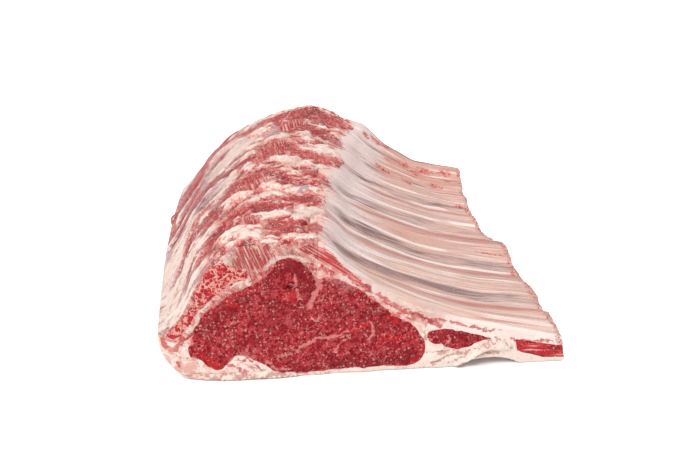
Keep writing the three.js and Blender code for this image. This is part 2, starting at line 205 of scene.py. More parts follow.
def sawn_edge(y):
    return np.interp(y, SAWN_EDGE_Y, SAWN_EDGE_X)


def blend(near, middle, far, share):
    """The three sections blended by one parabola."""
    w = share[..., None]
    return near * (1 - w) * (1 - 2 * w) + middle * 4 * w * (1 - w) + far * w * (2 * w - 1)


def mark_place(index, y):
    """x and z of marks of the upper outline; the last two follow the sawn edge."""
    share = share_along(y)
    place = blend(NEAR_MARKS[index], MIDDLE_MARKS[index], FAR_MARKS[index], share)
    last = blend(NEAR_MARKS[END_MARK], MIDDLE_MARKS[END_MARK], FAR_MARKS[END_MARK], share)
    pull = np.clip(0.5 * (index - END_MARK + 2), 0.0, 1.0)
    place[..., 0] += pull * (sawn_edge(y) - last[..., 0])
    return place


def smooth_run(before, here, after, beyond, t):
    """A smooth run from here to after, in line with the points on both sides."""
    leave, arrive = (after - before) / 2, (beyond - here) / 2
    return (
        (2 * here - 2 * after + leave + arrive) * t ** 3
        + (3 * after - 3 * here - 2 * leave - arrive) * t ** 2
        + leave * t
        + here
    )


def upper_outline(y, mark):
    """x and z of the smooth upper outline at each y and mark."""
    y, mark = np.broadcast_arrays(np.asarray(y, float), np.asarray(mark, float))
    start = np.clip(np.floor(mark), 0, END_MARK - 1).astype(int)
    t = (mark - start)[..., None]
    marks = (mark_place(np.clip(start + k, 0, END_MARK), y) for k in (-1, 0, 1, 2))
    return smooth_run(*marks, t)


def upper_normal(y, mark):
    run = upper_outline(y, np.asarray(mark) + 0.05) - upper_outline(y, np.asarray(mark) - 0.05)
    run /= np.linalg.norm(run, axis=-1, keepdims=True)
    return together(-run[..., 1], run[..., 0])


ARC_MARKS = np.linspace(0, END_MARK, 401)
ARC_Y = np.linspace(-HALF_LENGTH, HALF_LENGTH, 41)


def arc_table():
    """Distance along the section from the heads of the ribs, at every ARC_Y and ARC_MARKS."""
    steps = np.diff(upper_outline(ARC_Y[:, None], ARC_MARKS[None, :]), axis=1)
    runs = np.cumsum(np.linalg.norm(steps, axis=-1), axis=1)
    table = np.concatenate([np.zeros((len(ARC_Y), 1)), runs], axis=1)
    head = int(np.abs(ARC_MARKS - HEAD_MARK).argmin())
    return table - table[:, head:head + 1]


ARC = arc_table()


def arc_at(y, mark):
    """Distance along the section from the heads of the ribs, negative towards the spine side."""
    row = np.clip((np.asarray(y) + HALF_LENGTH) / LENGTH * (len(ARC_Y) - 1), 0, len(ARC_Y) - 1.001)
    column = np.clip(np.asarray(mark) / END_MARK * (len(ARC_MARKS) - 1), 0, len(ARC_MARKS) - 1.001)
    row, column = np.broadcast_arrays(row, column)
    r, c = row.astype(int), column.astype(int)
    fr, fc = row - r, column - c
    upper = lerp(ARC[r, c], ARC[r, c + 1], fc)
    lower = lerp(ARC[r + 1, c], ARC[r + 1, c + 1], fc)
    return lerp(upper, lower, fr)


def even_marks(low, high, spacing):
    """Marks that lie about evenly along the middle section."""
    middle = ARC[len(ARC_Y) // 2]
    ends = np.interp((low, high), ARC_MARKS, middle)
    count = int(round((ends[1] - ends[0]) / spacing)) + 1
    return np.interp(np.linspace(ends[0], ends[1], count), middle, ARC_MARKS)


def rib_line(index, outward):
    slant = 1 - (1 - np.clip(outward, 0, 1)) ** RIB_BEND
    return lerp(RIB_HEADS_Y[index], RIB_ENDS_Y[index], slant)


def rib_phase(y, outward):
    """Which rib a place belongs to: whole numbers, from 0, are centre lines."""
    lines = [rib_line(i, outward) for i in range(RIB_COUNT)]
    phase = (y - lines[0]) / RIB_SPACING
    for i in range(1, RIB_COUNT):
        between = i - 1 + (y - lines[i - 1]) / (lines[i] - lines[i - 1])
        phase = np.where(y > lines[i - 1], between, phase)
    return np.where(y > lines[-1], RIB_COUNT - 1 + (y - lines[-1]) / RIB_SPACING, phase)


def rim_drop(y, radius):
    """How far the surface falls in beside a cut face, so that its rim is rounded."""
    beyond = np.clip(np.abs(y) - (HALF_LENGTH - radius), 0, radius)
    return radius - np.sqrt(radius ** 2 - beyond ** 2)


def inner(y, depth=12.0):
    """1 well inside the rack, falling to 0 at its cut faces."""
    return smooth(0, depth, HALF_LENGTH - np.abs(y))


def bump(value, centre, width):
    return np.exp(-(((value - centre) / width) ** 2))


def ridge(y, outward, height):
    """Height of the ribbed side over its mean surface."""
    phase = rib_phase(y, outward)
    part = phase - np.floor(phase)
    crest = np.abs(np.cos(np.pi * phase)) ** 0.8
    cords = 0.16 * bump(part, 0.53, 0.05) - 0.14 * bump(part, 0.66, 0.07)
    flow = together(outward * WALL_RUN / 45, phase * RIB_SPACING / 3.2)
    strands = 0.10 * rough_noise(flow, 1.0, 11, 2)
    wander = 0.14 * noise(together(outward * WALL_RUN, phase * RIB_SPACING), 26.0, 12)
    swell = 6.0 * smooth(0.6, 1.0, outward) * bump(y, -124, 26)
    return height * smooth(-0.04, 0.12, outward) * (crest - 0.6 + cords + strands + wander) + swell


def wall_thickness(y, outward):
    share = share_along(y)
    return lerp(6.5, 13.0, share) - 3.0 * (1 - share) * smooth(0.7, 1.0, outward)


def sawn_wear(y, z):
    """How far the sawn side stands out past its smooth line."""
    places = together(y, z)
    return 1.0 * noise(places, 15.0, 221) + 0.45 * noise(places, 5.0, 222)


def wall_place(y, outward, drop=0.0, height=0.0):
    """x and z on the wall: drop is the share of its thickness, height is over the mean surface."""
    mark = HEAD_MARK + outward * (END_MARK - HEAD_MARK)
    place = upper_outline(y, mark)
    normal = upper_normal(y, mark)
    low = drop * wall_thickness(y, outward) / np.maximum(normal[..., 1], 0.4)
    full = np.maximum(place[..., 1] - SAWN_FOOT, 1.0)
    flare = SAWN_FLARE * smooth(0.94, 1.0, outward) * low / full
    lift = (np.asarray(height) - rim_drop(y, 1.4) * (1 - drop))[..., None]
    place = place + normal * lift + together(flare, -low)
    place[..., 0] += smooth(0.96, 1.0, outward) * sawn_wear(y, place[..., 1])
    return place


# ---------------------------------------------------------------- relief and paint of the cut faces

def cut_relief(x, z, side):
    """How far a cut face stands out past its plane; side is -1 for the near one."""
    places = together(x, z)
    seed = 40 if side < 0 else 60
    broad = 0.9 * noise(places, 46.0, seed) + 0.45 * noise(places, 17.0, seed + 1)
    fine = 0.16 * noise(places, 6.0, seed + 2) + 0.07 * noise(places, 2.6, seed + 3)
    lean = CUT_LEAN * smooth(40.0, 0.0, z) if side < 0 else 0.0
    return broad + fine + lean


def stroke(places, points, half_width):
    """1 on a drawn line, a half at its edge and 0 beyond."""
    points = np.array(points, float)
    nearest = np.full(places.shape[:-1], 1e9)
    for start, end in zip(points[:-1], points[1:]):
        run = end - start
        t = np.clip(((places - start) @ run) / (run @ run), 0, 1)
        gap = np.linalg.norm(places - (start + t[..., None] * run), axis=-1)
        nearest = np.minimum(nearest, gap)
    return np.clip(1 - 0.5 * (nearest / half_width) ** 2, 0, 1)


def spot(places, centre, half_long, half_wide, turn):
    """1 in the middle of a turned oval, a half at its edge and 0 beyond."""
    angle = math.radians(turn)
    away = places - np.array(centre, float)
    u = away[..., 0] * math.cos(angle) + away[..., 1] * math.sin(angle)
    v = away[..., 1] * math.cos(angle) - away[..., 0] * math.sin(angle)
    return np.clip(1 - 0.5 * ((u / half_long) ** 2 + (v / half_wide) ** 2), 0, 1)


def drawn(kinds, strokes, places, swell=1.0):
    """A field for each kind of stroke, the strongest where strokes meet; wide ones may swell."""
    fields = {kind: np.zeros(places.shape[:-1]) for kind in kinds}
    for kind, points, half_width in strokes:
        width = half_width * (swell if half_width > 1 else 1)
        fields[kind] = np.maximum(fields[kind], stroke(places, points, width))
    return fields


def near_face_place(x, z, y):
    """Where a place of a cut face lies on the near one, whose muscles are a little smaller."""
    share = np.where(y > 0, 1.0, 0.0)
    return together((x - EYE_FAR_SHIFT[0] * share) / lerp(1, EYE_FAR_SCALE[0], share), z)


def gap_to_curve(places, curve):
    """Distance to the nearest point of a closed curve, for places of any shape."""
    flat = places.reshape(-1, 2)
    return gap_to(flat, [curve]).reshape(places.shape[:-1])


# What the near cut face shows outside the muscles: kind, points as (x, z), half width.
CUT_STROKES = (
    ("raw", ((-34, 95), (-26, 92), (-19, 86)), 2.4),
    ("deep", ((-8, 72), (0, 66), (5, 61)), 2.4),
    ("deep", ((-34, 92), (-27, 88), (-19, 82), (-11, 75)), 4.0),
    ("raw", ((-33, 80), (-27, 77), (-20, 75)), 2.4),
    ("raw", ((-12, 74), (-2, 66), (6, 59), (17, 52)), 2.6),
    ("raw", ((16, 50), (26, 45)), 1.8),
    ("raw", ((28, 44), (41, 38), (53, 32)), 2.6),
    ("deep", ((34, 42), (42, 38), (48, 34)), 1.0),
    ("raw", ((54, 36), (66, 33), (80, 29)), 0.8),
    ("raw", ((-141, 36), (-137, 28), (-131, 22), (-125, 27), (-117, 33)), 1.7),
    ("raw", ((-128, 37), (-121, 41)), 2.6),
    ("raw", ((-119, 46), (-108, 60), (-98, 74)), 3.2),
    ("raw", ((-82, 76), (-73, 75), (-64, 78)), 2.4),
    ("raw", ((-104, 84), (-96, 88)), 2.4),
    ("raw", ((16, 43), (22, 39)), 3.4),
    ("raw", ((-128, 15), (-124, 8)), 1.2),
    ("raw", ((-100, 14), (-92, 9), (-84, 5)), 1.2),
    ("deep", ((80, 29), (89, 27), (101, 28)), 0.8),
    ("raw", ((108, 19), (122, 16), (136, 14)), 0.9),
    ("pale", ((-88, 74), (-82, 71)), 4.2),
    ("pale", ((-92, 93), (-94, 86)), 5.0),
    ("pale", ((-104, 60), (-113, 47), (-118, 36)), 2.2),
    ("pale", ((-66, 79), (-56, 88), (-48, 90), (-40, 85)), 1.1),
    ("pale", ((-16, 72), (6, 57), (22, 44)), 1.0),
    ("pale", ((44, 46), (70, 37), (100, 29)), 2.0),
    ("pale", ((40, 30), (52, 22), (62, 12), (84, 15), (100, 16)), 4.0),
    ("stria", ((-84, 91), (-70, 87)), 10.0),
    ("stria", ((-36, 92), (-28, 88), (-18, 81), (-8, 72)), 6.0),
    ("stria", ((-112, 62), (-104, 80)), 3.0),
    ("pale", ((26, 51), (40, 45), (56, 39)), 1.6),
    # Fissures of the fat: painted darker, as the shade that falls in them.
    ("crack", ((66, -1), (70.5, 1), (78, 6), (87, 10.2), (97, 9.6)), 0.8),
    ("crack", ((49, 4), (61, 8.5), (74, 12)), 0.7),
    ("crack", ((44, 12), (56, 12.5), (68, 12)), 0.5),
    ("crack", ((60, 2), (66, 5), (76, 12), (90, 17.5), (98, 18)), 0.5),
    ("crack", ((43, 20), (46, 26), (44, 33)), 0.7),
    ("crack", ((94, 22), (101, 18), (106, 12)), 0.5),
    ("crack", ((-128, 5), (-96, 3), (-60, 2), (-30, 1)), 0.7),
    ("crack", ((-134, 20), (-122, 16), (-112, 9)), 0.5),
    ("crack", ((-90, 15), (-80, 8), (-66, 6)), 0.6),
    ("deep", ((-86, 15), (-76, 12), (-70, 7)), 0.9),
)


def cut_fields(x, z, y):
    """Paint of a cut face, and of the inside, outside the muscles."""
    flat = near_face_place(x, z, y)
    warp = together(rough_noise(flat, 5.0, 71, 4), rough_noise(flat, 5.0, 76, 4)) * 2.0
    swell = 1 + 0.9 * rough_noise(flat, 4.0, 77, 4)
    fields = drawn(("raw", "deep", "pale", "stria", "crack"), CUT_STROKES, flat + warp, swell)
    beside = smooth(9.0, 2.0, gap_to_curve(flat, EYE_CURVE)) * smooth(20, 34, z)
    fields["blush"] = 0.32 + 0.55 * smooth(30, 62, z) + 0.3 * bump(x, -120, 22) + 0.4 * beside
    fields["blush"] = np.clip(fields["blush"] * (1 - 0.95 * smooth(40, 52, x)), 0, 1)
    fields["stria"] = np.maximum(fields["stria"], 0.4 * beside * (fields["pale"] < 0.3))
    turn = np.radians(36.0) * smooth(-56, -44, x)
    fields["chart"] = together(
        x * np.cos(turn) + z * np.sin(turn), z * np.cos(turn) - x * np.sin(turn), 0.0
    )
    fields["flow"] = together(x * 0.9, z * 0.6 + x * 0.4, 0.0)
    return fields


# ---------------------------------------------------------------- paint of the backbone strip

# Patches of the torn strip and of the spine side: kind, place as (distance along the section from
# the heads of the ribs, y), half length, half width, and turn from the section towards +Y.
PATCHES = (
    ("raw", -21, -138, 14, 12, -20), ("hole", -30, -156, 3, 2.5, 0), ("hole", -9, -138, 2, 2.5, 0),
    ("deep", -4, -138, 6, 9, -6), ("pale", -12, -118, 12, 8, -21), ("pale", -14, -155, 10, 3, -6),
    ("deep", -22, -111, 4, 6, -10), ("deep", -38, -98, 12, 9, -29), ("raw", -29, -84, 14, 7, 10),
    ("deep", -12, -88, 13, 10, -12), ("cool", -15, -67, 4, 5, -7), ("cool", -16, -23, 11, 4, -20),
    ("raw", -7, -39, 16, 7, -25), ("deep", 3, -46, 8, 8, 20), ("deep", -36, -47, 8, 9, -6),
    ("raw", -8, 6, 18, 11, -29), ("raw", 5, 12, 8, 7, 30), ("raw", -26, 19, 20, 11, -35),
    ("deep", -25, 81, 10, 10, -33), ("deep", -6, 62, 25, 11, -26), ("deep", -42, 133, 20, 15, -25),
    ("raw", -10, 127, 20, 13, -35), ("raw", -14, 157, 14, 5, 0), ("stria", -48, 96, 12, 19, -16),
    ("stria", -54, 30, 17, 25, 10), ("stria", -60, -52, 15, 30, 10), ("raw", -68, 18, 12, 16, -20),
    ("deep", -73, -38, 17, 9, 62), ("cool", -94, -16, 12, 12, 60), ("deep", -98, -35, 14, 6, 57),
    ("deep", -87, -83, 12, 9, 40), ("raw", -63, -100, 14, 8, 40), ("deep", -72, -114, 20, 8, 45),
    ("stria", -54, -126, 8, 11, -20), ("raw", -79, -58, 8, 6, 61), ("pale", -60, -136, 13, 7, -30),
    ("pale", -98, 60, 40, 9, 68), ("pale", -96, 106, 22, 9, 10), ("pale", -64, -70, 12, 6, 51),
    ("raw", -86, -134, 12, 8, 40), ("raw", -85, -119, 10, 6, 35), ("raw", -150, 112, 52, 13, 66),
    ("cool", -128, 84, 34, 9, 68), ("deep", -132, -18, 34, 7, 56), ("cool", -146, -52, 30, 9, 48),
    ("raw", -166, 50, 26, 9, 64), ("deep", -84, 16, 26, 6, 28), ("cool", -76, 98, 16, 10, -5),
    ("pale", -43, -61, 8, 5, -5), ("pale", -32, -6, 11, 7, -30), ("pale", 4, 33, 8, 6, 10),
    ("pale", 2, -22, 8, 6, -11), ("pale", -14, 62, 32, 3, -26), ("pale", -128, -66, 30, 10, 45),
    ("pale", -146, -84, 28, 20, 70), ("pale", -118, -120, 26, 8, 50), ("deep", -122, 64, 44, 6, 66),
    ("raw", -110, 128, 28, 8, 15), ("pale", -86, 152, 26, 4, 5), ("raw", -48, 118, 24, 7, 5),
    ("pale", -62, 62, 14, 5, 15), ("deep", -112, 0, 30, 7, 58), ("raw", -104, -62, 20, 7, 45),
    ("pale", -84, -12, 18, 5, 40), ("cool", -112, 34, 24, 8, 62), ("raw", -134, 20, 34, 7, 60),
    ("deep", -156, -10, 26, 6, 60), ("raw", -118, -88, 22, 5, 45), ("deep", -104, -126, 12, 5, 40),
    ("raw", -178, 10, 60, 9, 84), ("raw", -170, 112, 44, 10, 78), ("deep", -160, 60, 40, 4, 72),
    ("cool", -60, 78, 10, 8, 0), ("raw", -70, 140, 24, 8, 5), ("deep", -142, 70, 30, 5, 66),
    ("raw", -146, 98, 44, 9, 78), ("deep", -150, 80, 22, 5, 78), ("raw", -162, 12, 36, 5, 84),
    ("raw", -126, 150, 16, 6, 60), ("deep", -134, 140, 12, 3, 66), ("raw", -104, 157, 20, 3, 0),
    ("cool", -86, 103, 15, 9, 20), ("cool", -102, -26, 14, 6, 60), ("pale", -122, 104, 26, 9, 66),
    ("pale", -112, 66, 22, 7, 60), ("cool", -134, 44, 28, 6, 66), ("deep", -118, -92, 20, 3, 55),
    ("deep", -128, -128, 16, 3, 60), ("pale", -136, -134, 22, 8, 66), ("deep", -88, 40, 12, 4, 40),
    ("deep", -92, -76, 15, 7, 45), ("deep", -20, -140, 9, 6, -10),
    ("pale", -5, -112, 6, 10, 0), ("cool", -86, 108, 18, 8, 10),
)
BUMPS = (          # knobs of meat on the spine side: distance along the section, y, size, height
    (-168, 38, 7.0, 5.5), (-158, 78, 9.0, 1.6), (-140, 128, 20.0, 4.5), (-160, -8, 8.0, 1.2),
    (-122, 158, 18.0, 4.0), (-165, -120, 40.0, -2.5), (-40, 158, 12.0, 2.0),
)
FIBRE_TURN = -70.0        # direction of the striated bundles on the strip


def strip_paint(arc, y):
    """Paint of the strip by distance along the section and y."""
    chart = together(arc, y)
    side = smooth(-66, -96, arc)
    warp = together(rough_noise(chart, 15.0, 21), rough_noise(chart, 15.0, 31))
    places = chart + warp * (3.2 - 1.4 * side)[..., None]
    kinds = ("raw", "deep", "pale", "cool", "stria", "hole")
    fields = {kind: np.zeros(arc.shape) for kind in kinds}
    for kind, at, along, half_long, half_wide, turn in PATCHES:
        oval = spot(places, (at, along), half_long, half_wide, turn)
        fields[kind] = np.maximum(fields[kind], oval)
    fields["side"] = side
    bend = np.interp(-arc, (-30, 0, 40, 60, 85, 112, 150, 190), (14, 0, -18, -12, 22, 80, 118, 190))
    fields["flow"] = together(arc * 0.8, y + bend * smooth(-170, -20, y), 0.0)
    fields["chart"] = together(arc, y, 0.0)
    return fields


def fibre_wave(chart, spacing, seed):
    """Ridges of a bundle of fibres, from -1 to 1."""
    angle = math.radians(FIBRE_TURN)
    across = chart[..., 1] * math.cos(angle) - chart[..., 0] * math.sin(angle)
    along = chart[..., 0] * math.cos(angle) + chart[..., 1] * math.sin(angle)
    sway = 0.9 * noise(together(along, across), 16.0, seed)
    return np.sin((across / spacing + sway) * 2 * np.pi)


def terraced(height, step):
    """Heights gathered into layers, as torn tissue lies."""
    level = height / step
    base = np.floor(level)
    return step * (base + smooth(0.3, 0.7, level - base))


def strip_relief(fields):
    """Height of the torn strip over the smooth outline; also sets how far a place stands out, which the
    torn meat's paint follows as painted shade in the hollows and painted light on the raised parts.
    """
    chart = fields["chart"][..., :2]
    flow = fields["flow"][..., :2]
    side = fields["side"]
    folds = 0.5 - 2 * np.abs(noise(flow * (1 / 18, 1 / 7), 1.0, 80))
    ruffles = 0.5 - 2 * np.abs(noise(flow * (1 / 9, 1 / 3.6), 1.0, 90))
    clumps = 1.1 * noise(chart, 9.5, 82) + 0.9 * noise(chart, 4.6, 83)
    local = clumps + 0.8 * folds + 0.6 * ruffles
    local = lerp(local, terraced(local, 1.1), 0.8) + 0.4 * noise(chart, 2.4, 87)
    streaks = noise(flow * (1 / 26, 1 / 5.5), 1.0, 85) + 0.6 * noise(flow * (1 / 11, 1 / 2.5), 1.0, 86)
    blobs = 0.9 * noise(chart, 12.0, 89) + 0.7 * noise(chart, 5.5, 92)
    calm = 0.8 * streaks + 0.8 * blobs
    shift = 0.7 * fields["pale"] - 0.6 * fields["raw"] - 0.9 * fields["deep"]
    # The torn meat's colour follows this field: low places are painted darker as shade, raised places
    # lighter as light.
    fields["lift"] = lerp(local, calm, side) * 0.75
    height = lerp(1.8 * noise(chart, 24.0, 81), 1.5 * noise(chart, 30.0, 84), side)
    height += lerp(1.3 * local, 0.9 * calm, side) + lerp(1.4, 0.7, side) * shift
    height += 0.3 * fields["stria"] * fibre_wave(chart, 2.2, 88) - 3.4 * fields["hole"]
    for at, along, size, rise in BUMPS:
        height += rise * bump(np.hypot(chart[..., 0] - at, chart[..., 1] - along), 0, size)
    return height


# ---------------------------------------------------------------- paint of the rib side

# Red spots on the far ribs, as (share of the wall's run, y), half length and half width.
BLOOD_SPOTS = (
    (0.55, 135, 9, 3.5), (0.66, 129, 10, 4), (0.56, 91, 8, 3), (0.88, 120, 6, 3), (0.30, 143, 12, 5),
    (0.42, 90, 16, 1.6), (0.99, -88, 4, 4), (0.97, -105, 4, 3), (0.97, -62, 4, 2.5), (0.9, -38, 14, 1.2),
    (0.74, 138, 14, 4), (0.80, 104, 9, 3), (0.46, 126, 10, 3), (0.94, 96, 6, 3), (0.62, 112, 12, 2),
    (0.40, 148, 8, 4), (0.20, 136, 8, 3), (0.88, 142, 8, 4), (0.93, 66, 7, 2),
)


def wall_paint(places, outward, drop):
    """Paint of the membrane over the ribs and between them, and of the wall's cut faces."""
    y = places[..., 1]
    phase = rib_phase(y, outward)
    index = np.floor(phase)
    part = phase - index
    # The gray band on the near flank of each valley between the ribs is painted shade together with the
    # valley's own gray-mauve; it is strongest on the near ribs and fades towards the heads and the sawn
    # ends.
    valley = np.interp(index, (-1, 0, 1, 2, 3, 4, 5, 6), (0, 0.9, 0.85, 0.5, 0.4, 0.35, 0.2, 0.2))
    flow = together(outward * WALL_RUN, phase * RIB_SPACING)
    wander = 0.04 * noise(flow * (1 / 60, 1 / 25), 1.0, 91)
    middle = smooth(-0.05, 0.25, outward) * (1 - 0.6 * smooth(0.75, 1.0, outward))
    low = part + wander
    gray = np.interp(low, (0.46, 0.54, 0.62, 0.71, 0.74, 0.78), (0, 0.5, 0.85, 1.0, 0.35, 0))
    gray *= valley * middle
    blush = np.interp(low, (0.12, 0.26, 0.36, 0.45, 0.52), (0, 0.6, 1.0, 0.7, 0))
    blush = (blush + 0.25 * bump(low, 0.92, 0.12)) * (0.7 + 0.55 * smooth(0.1, 0.5, outward))
    line = bump(low, 0.52, 0.026) + bump(low, 0.81, 0.026) + 0.7 * bump(low, 0.14, 0.02)
    line *= np.clip(0.7 + 0.9 * noise(flow * (1 / 50, 1 / 9), 1.0, 94), 0.15, 1)
    cool = bump(outward, 0.12, 0.2) * (0.7 + 0.3 * smooth(0.45, 0.9, part) + 0.9 * smooth(2, 3.2, phase))
    blush *= 1 - 0.7 * bump(outward, 0.1, 0.2) * smooth(1.5, 3.0, phase)
    blush *= lerp(0.6, 1.0, smooth(0.6, 2.0, phase))
    tint = np.interp(phase, (0, 1, 1.6, 2, 2.4, 3, 4, 5, 6), (0, 0.1, 0.2, 0.65, 0.3, 0.35, 0.5, 0.8, 0.7))
    warm = tint * smooth(0.12, 0.5, outward)
    warm = np.maximum(warm, 0.75 * smooth(0.86, 1.0, outward) * smooth(-0.1, 0.6, phase))
    chart = together(outward * WALL_RUN, y)
    blood = np.zeros(phase.shape)
    for at, along, half_long, half_wide in BLOOD_SPOTS:
        blood = np.maximum(blood, spot(chart, (at * WALL_RUN, along), half_long, half_wide, 3))
    cut = cut_fields(places[..., 0], places[..., 2], y)
    on_cut = (np.abs(y) > HALF_LENGTH - 0.01) * (drop > 0.02)
    torn = strip_paint(outward * WALL_RUN, y)
    reach = smooth(0.10, 0.03, outward) * (1 - on_cut)
    return {
        "raw": cut["raw"] * on_cut + torn["raw"] * reach,
        "deep": cut["deep"] * on_cut + torn["deep"] * reach,
        "pale": np.maximum(cut["pale"], smooth(0.35, 0.0, drop)) * on_cut + torn["pale"] * reach,
        "stria": cut["stria"] * on_cut,
        "chart": cut["chart"],
        "gray": np.clip(gray, 0, 1),
        "blush": np.clip(blush, 0, 1),
        "line": np.clip(line + 0.9 * smooth(-0.02, -0.22, phase) * smooth(1.1, 0.7, outward), 0, 1),
        "warm": warm,
        "blood": blood,
        "brown": smooth(149, 154, y) * bump(outward, 0.5, 0.33) * (1 - on_cut),
        "sawn": smooth(0.945, 0.995, outward) * 0.75,
        "head": smooth(0.13, -0.05, outward),
        "cool": cool,
        "flow": together(outward * WALL_RUN, phase * RIB_SPACING, 0.0),
    }


# ---------------------------------------------------------------- meshes

def grid_faces(rows, columns):
    start = np.arange((rows - 1) * columns).reshape(rows - 1, columns)[:, :-1].ravel()
    return np.column_stack([start, start + 1, start + columns + 1, start + columns])


SHARP_ANGLE = math.radians(62)


class Body:
    """One piece, gathered patch by patch; points that coincide are joined at the end."""

    def __init__(self):
        self.places, self.faces, self.fields, self.count = [], [], [], 0

    def patch(self, places, faces, fields=None):
        places = np.asarray(places, float).reshape(-1, 3)
        self.places.append(places)
        self.faces.extend(np.asarray(face) + self.count for face in faces)
        self.fields.append(fields or {})
        self.count += len(places)

    def grid(self, places, fields=None):
        rows, columns = places.shape[:2]
        flat = {name: f.reshape(rows * columns, -1) for name, f in (fields or {}).items()}
        self.patch(places, grid_faces(rows, columns), flat)

    def seam(self, fine, coarse, axis=1):
        """Triangles between two edges that run side by side with unlike spacing."""
        faces, i, j = [], 0, 0
        while i + 1 < len(fine) or j + 1 < len(coarse):
            step_fine = fine[i + 1][axis] if i + 1 < len(fine) else np.inf
            step_coarse = coarse[j + 1][axis] if j + 1 < len(coarse) else np.inf
            if step_fine <= step_coarse:
                faces.append((i, i + 1, len(fine) + j))
                i += 1
            else:
                faces.append((i, len(fine) + j + 1, len(fine) + j))
                j += 1
        self.patch(np.vstack([fine, coarse]), faces)

    def gathered(self, name, width):
        """One field over all points, zero where a patch doesn't give it."""
        parts = []
        for places, fields in zip(self.places, self.fields):
            given = fields.get(name)
            blank = np.zeros((len(places), width))
            parts.append(blank if given is None else np.asarray(given, float).reshape(-1, width))
        return np.vstack(parts)

    def store_fields(self, mesh, corners):
        """Keeps every field on the corners of the faces, so that patches meet crisply."""
        for name in sorted({key for fields in self.fields for key in fields}):
            width = 3 if name in ("flow", "chart") else 1
            values = self.gathered(name, width)[corners]
            kind, part = ("FLOAT_VECTOR", "vector") if width == 3 else ("FLOAT", "value")
            layer = mesh.attributes.new(name, kind, "CORNER")
            layer.data.foreach_set(part, values.astype(np.float32).ravel())

    def build(self, name, material, node, slot):
        """Makes the Blender object, in metres, hangs it under the rack's root and hides the CAD part that
        it stands for.
        """
        places = np.vstack(self.places)
        keys = np.round(places * 1000).astype(np.int64)
        _, first, inverse = np.unique(keys, axis=0, return_index=True, return_inverse=True)
        inverse = inverse.ravel()
        places = places[first]
        side = np.sign(places[:, 1])
        near, far = (cut_relief(places[:, 0], places[:, 2], at) for at in (-1, 1))
        reach = smooth(HALF_LENGTH - CUT_REACH, HALF_LENGTH, np.abs(places[:, 1]))
        places[:, 1] += side * np.where(side < 0, near, far) * reach
        faces, corners = [], []
        for face in self.faces:
            kept = {}
            for point in face.tolist():
                kept.setdefault(int(inverse[point]), point)
            if len(kept) > 2:
                faces.append(list(kept))
                corners.extend(kept.values())
        mesh = bpy.data.meshes.new(name)
        mesh.from_pydata((places * MM).tolist(), [], faces)
        self.store_fields(mesh, corners)
        mesh.validate()
        work = bmesh.new()
        work.from_mesh(mesh)
        bmesh.ops.recalc_face_normals(work, faces=work.faces)
        work.to_mesh(mesh)
        work.free()
        mesh.shade_smooth()
        mesh.set_sharp_from_angle(angle=SHARP_ANGLE)
        mesh.materials.append(material)
        made = bpy.data.objects.new(name, mesh)
        bpy.context.scene.collection.objects.link(made)
        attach(made, "root")
        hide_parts(node)


def is_inside(places, outlines):
    """True for places inside the first outline and outside the others."""
    crossings = np.zeros(len(places), int)
    for outline in outlines:
        a, b = outline, np.roll(outline, -1, axis=0)
        for low in range(0, len(places), 4096):
            p = places[low:low + 4096, None, :]
            spans = (a[:, 1] > p[..., 1]) != (b[:, 1] > p[..., 1])
            rise = np.where(b[:, 1] == a[:, 1], 1e-12, b[:, 1] - a[:, 1])
            meet = a[:, 0] + (p[..., 1] - a[:, 1]) * (b[:, 0] - a[:, 0]) / rise
            crossings[low:low + 4096] += (spans & (p[..., 0] < meet)).sum(axis=1)
    return crossings % 2 == 1


def gap_to(places, outlines):
    """Distance from each place to the nearest point of the outlines."""
    points = np.vstack(outlines)
    gaps = np.empty(len(places))
    for low in range(0, len(places), 2048):
        away = places[low:low + 2048, None, :] - points
        gaps[low:low + 2048] = np.sqrt((away ** 2).sum(axis=-1).min(axis=1))
    return gaps


def fill(outlines, spacing, seed=5):
    """Flat triangles inside closed outlines, the first outside the others, with points between."""
    rim = np.vstack(outlines)
    inside = np.zeros((0, 2))
    if spacing:
        low, high = rim.min(axis=0), rim.max(axis=0)
        rows = np.arange(low[1], high[1], spacing * 0.87)
        columns = np.arange(low[0] - spacing, high[0], spacing)
        x, z = np.meshgrid(columns, rows)
        x = x + 0.5 * spacing * (np.arange(len(rows)) % 2)[:, None]
        inside = together(x, z).reshape(-1, 2)
        shake = np.random.default_rng(seed).uniform(-0.18, 0.18, inside.shape)
        inside = inside + spacing * shake
        inside = inside[is_inside(inside, outlines)]
        inside = inside[gap_to(inside, outlines) > 0.6 * spacing]
    points = np.vstack([rim, inside])
    edges, start = [], 0
    for outline in outlines:
        ids = start + np.arange(len(outline))
        edges.extend(zip(ids.tolist(), np.roll(ids, -1).tolist()))
        start += len(outline)
    given = [Vector(point) for point in points]
    found, _, faces, origins, _, _ = delaunay_2d_cdt(given, edges, [], 0, 1e-5)
    places = np.array([
        points[origin[0]] if origin else tuple(place) for place, origin in zip(found, origins)
    ])
    faces = np.array([face for face in faces if len(face) == 3])
    centres = places[faces].mean(axis=1)
    return places, faces[is_inside(centres, outlines)]


def cap(body, outlines, y_end, spacing, seed, bulge=None, paint=None):
    """Closes a piece at a cut face with a dense, slightly uneven face."""
    flat, faces = fill(outlines, spacing, seed)
    side = math.copysign(1.0, y_end)
    gaps = gap_to(flat, outlines)
    lift = bulge(flat, gaps) if bulge else np.zeros(len(flat))
    x, z = flat[:, 0], flat[:, 1]
    y = y_end + side * lift
    body.patch(np.column_stack([x, y, z]), faces, paint(x, z, y) if paint else None)


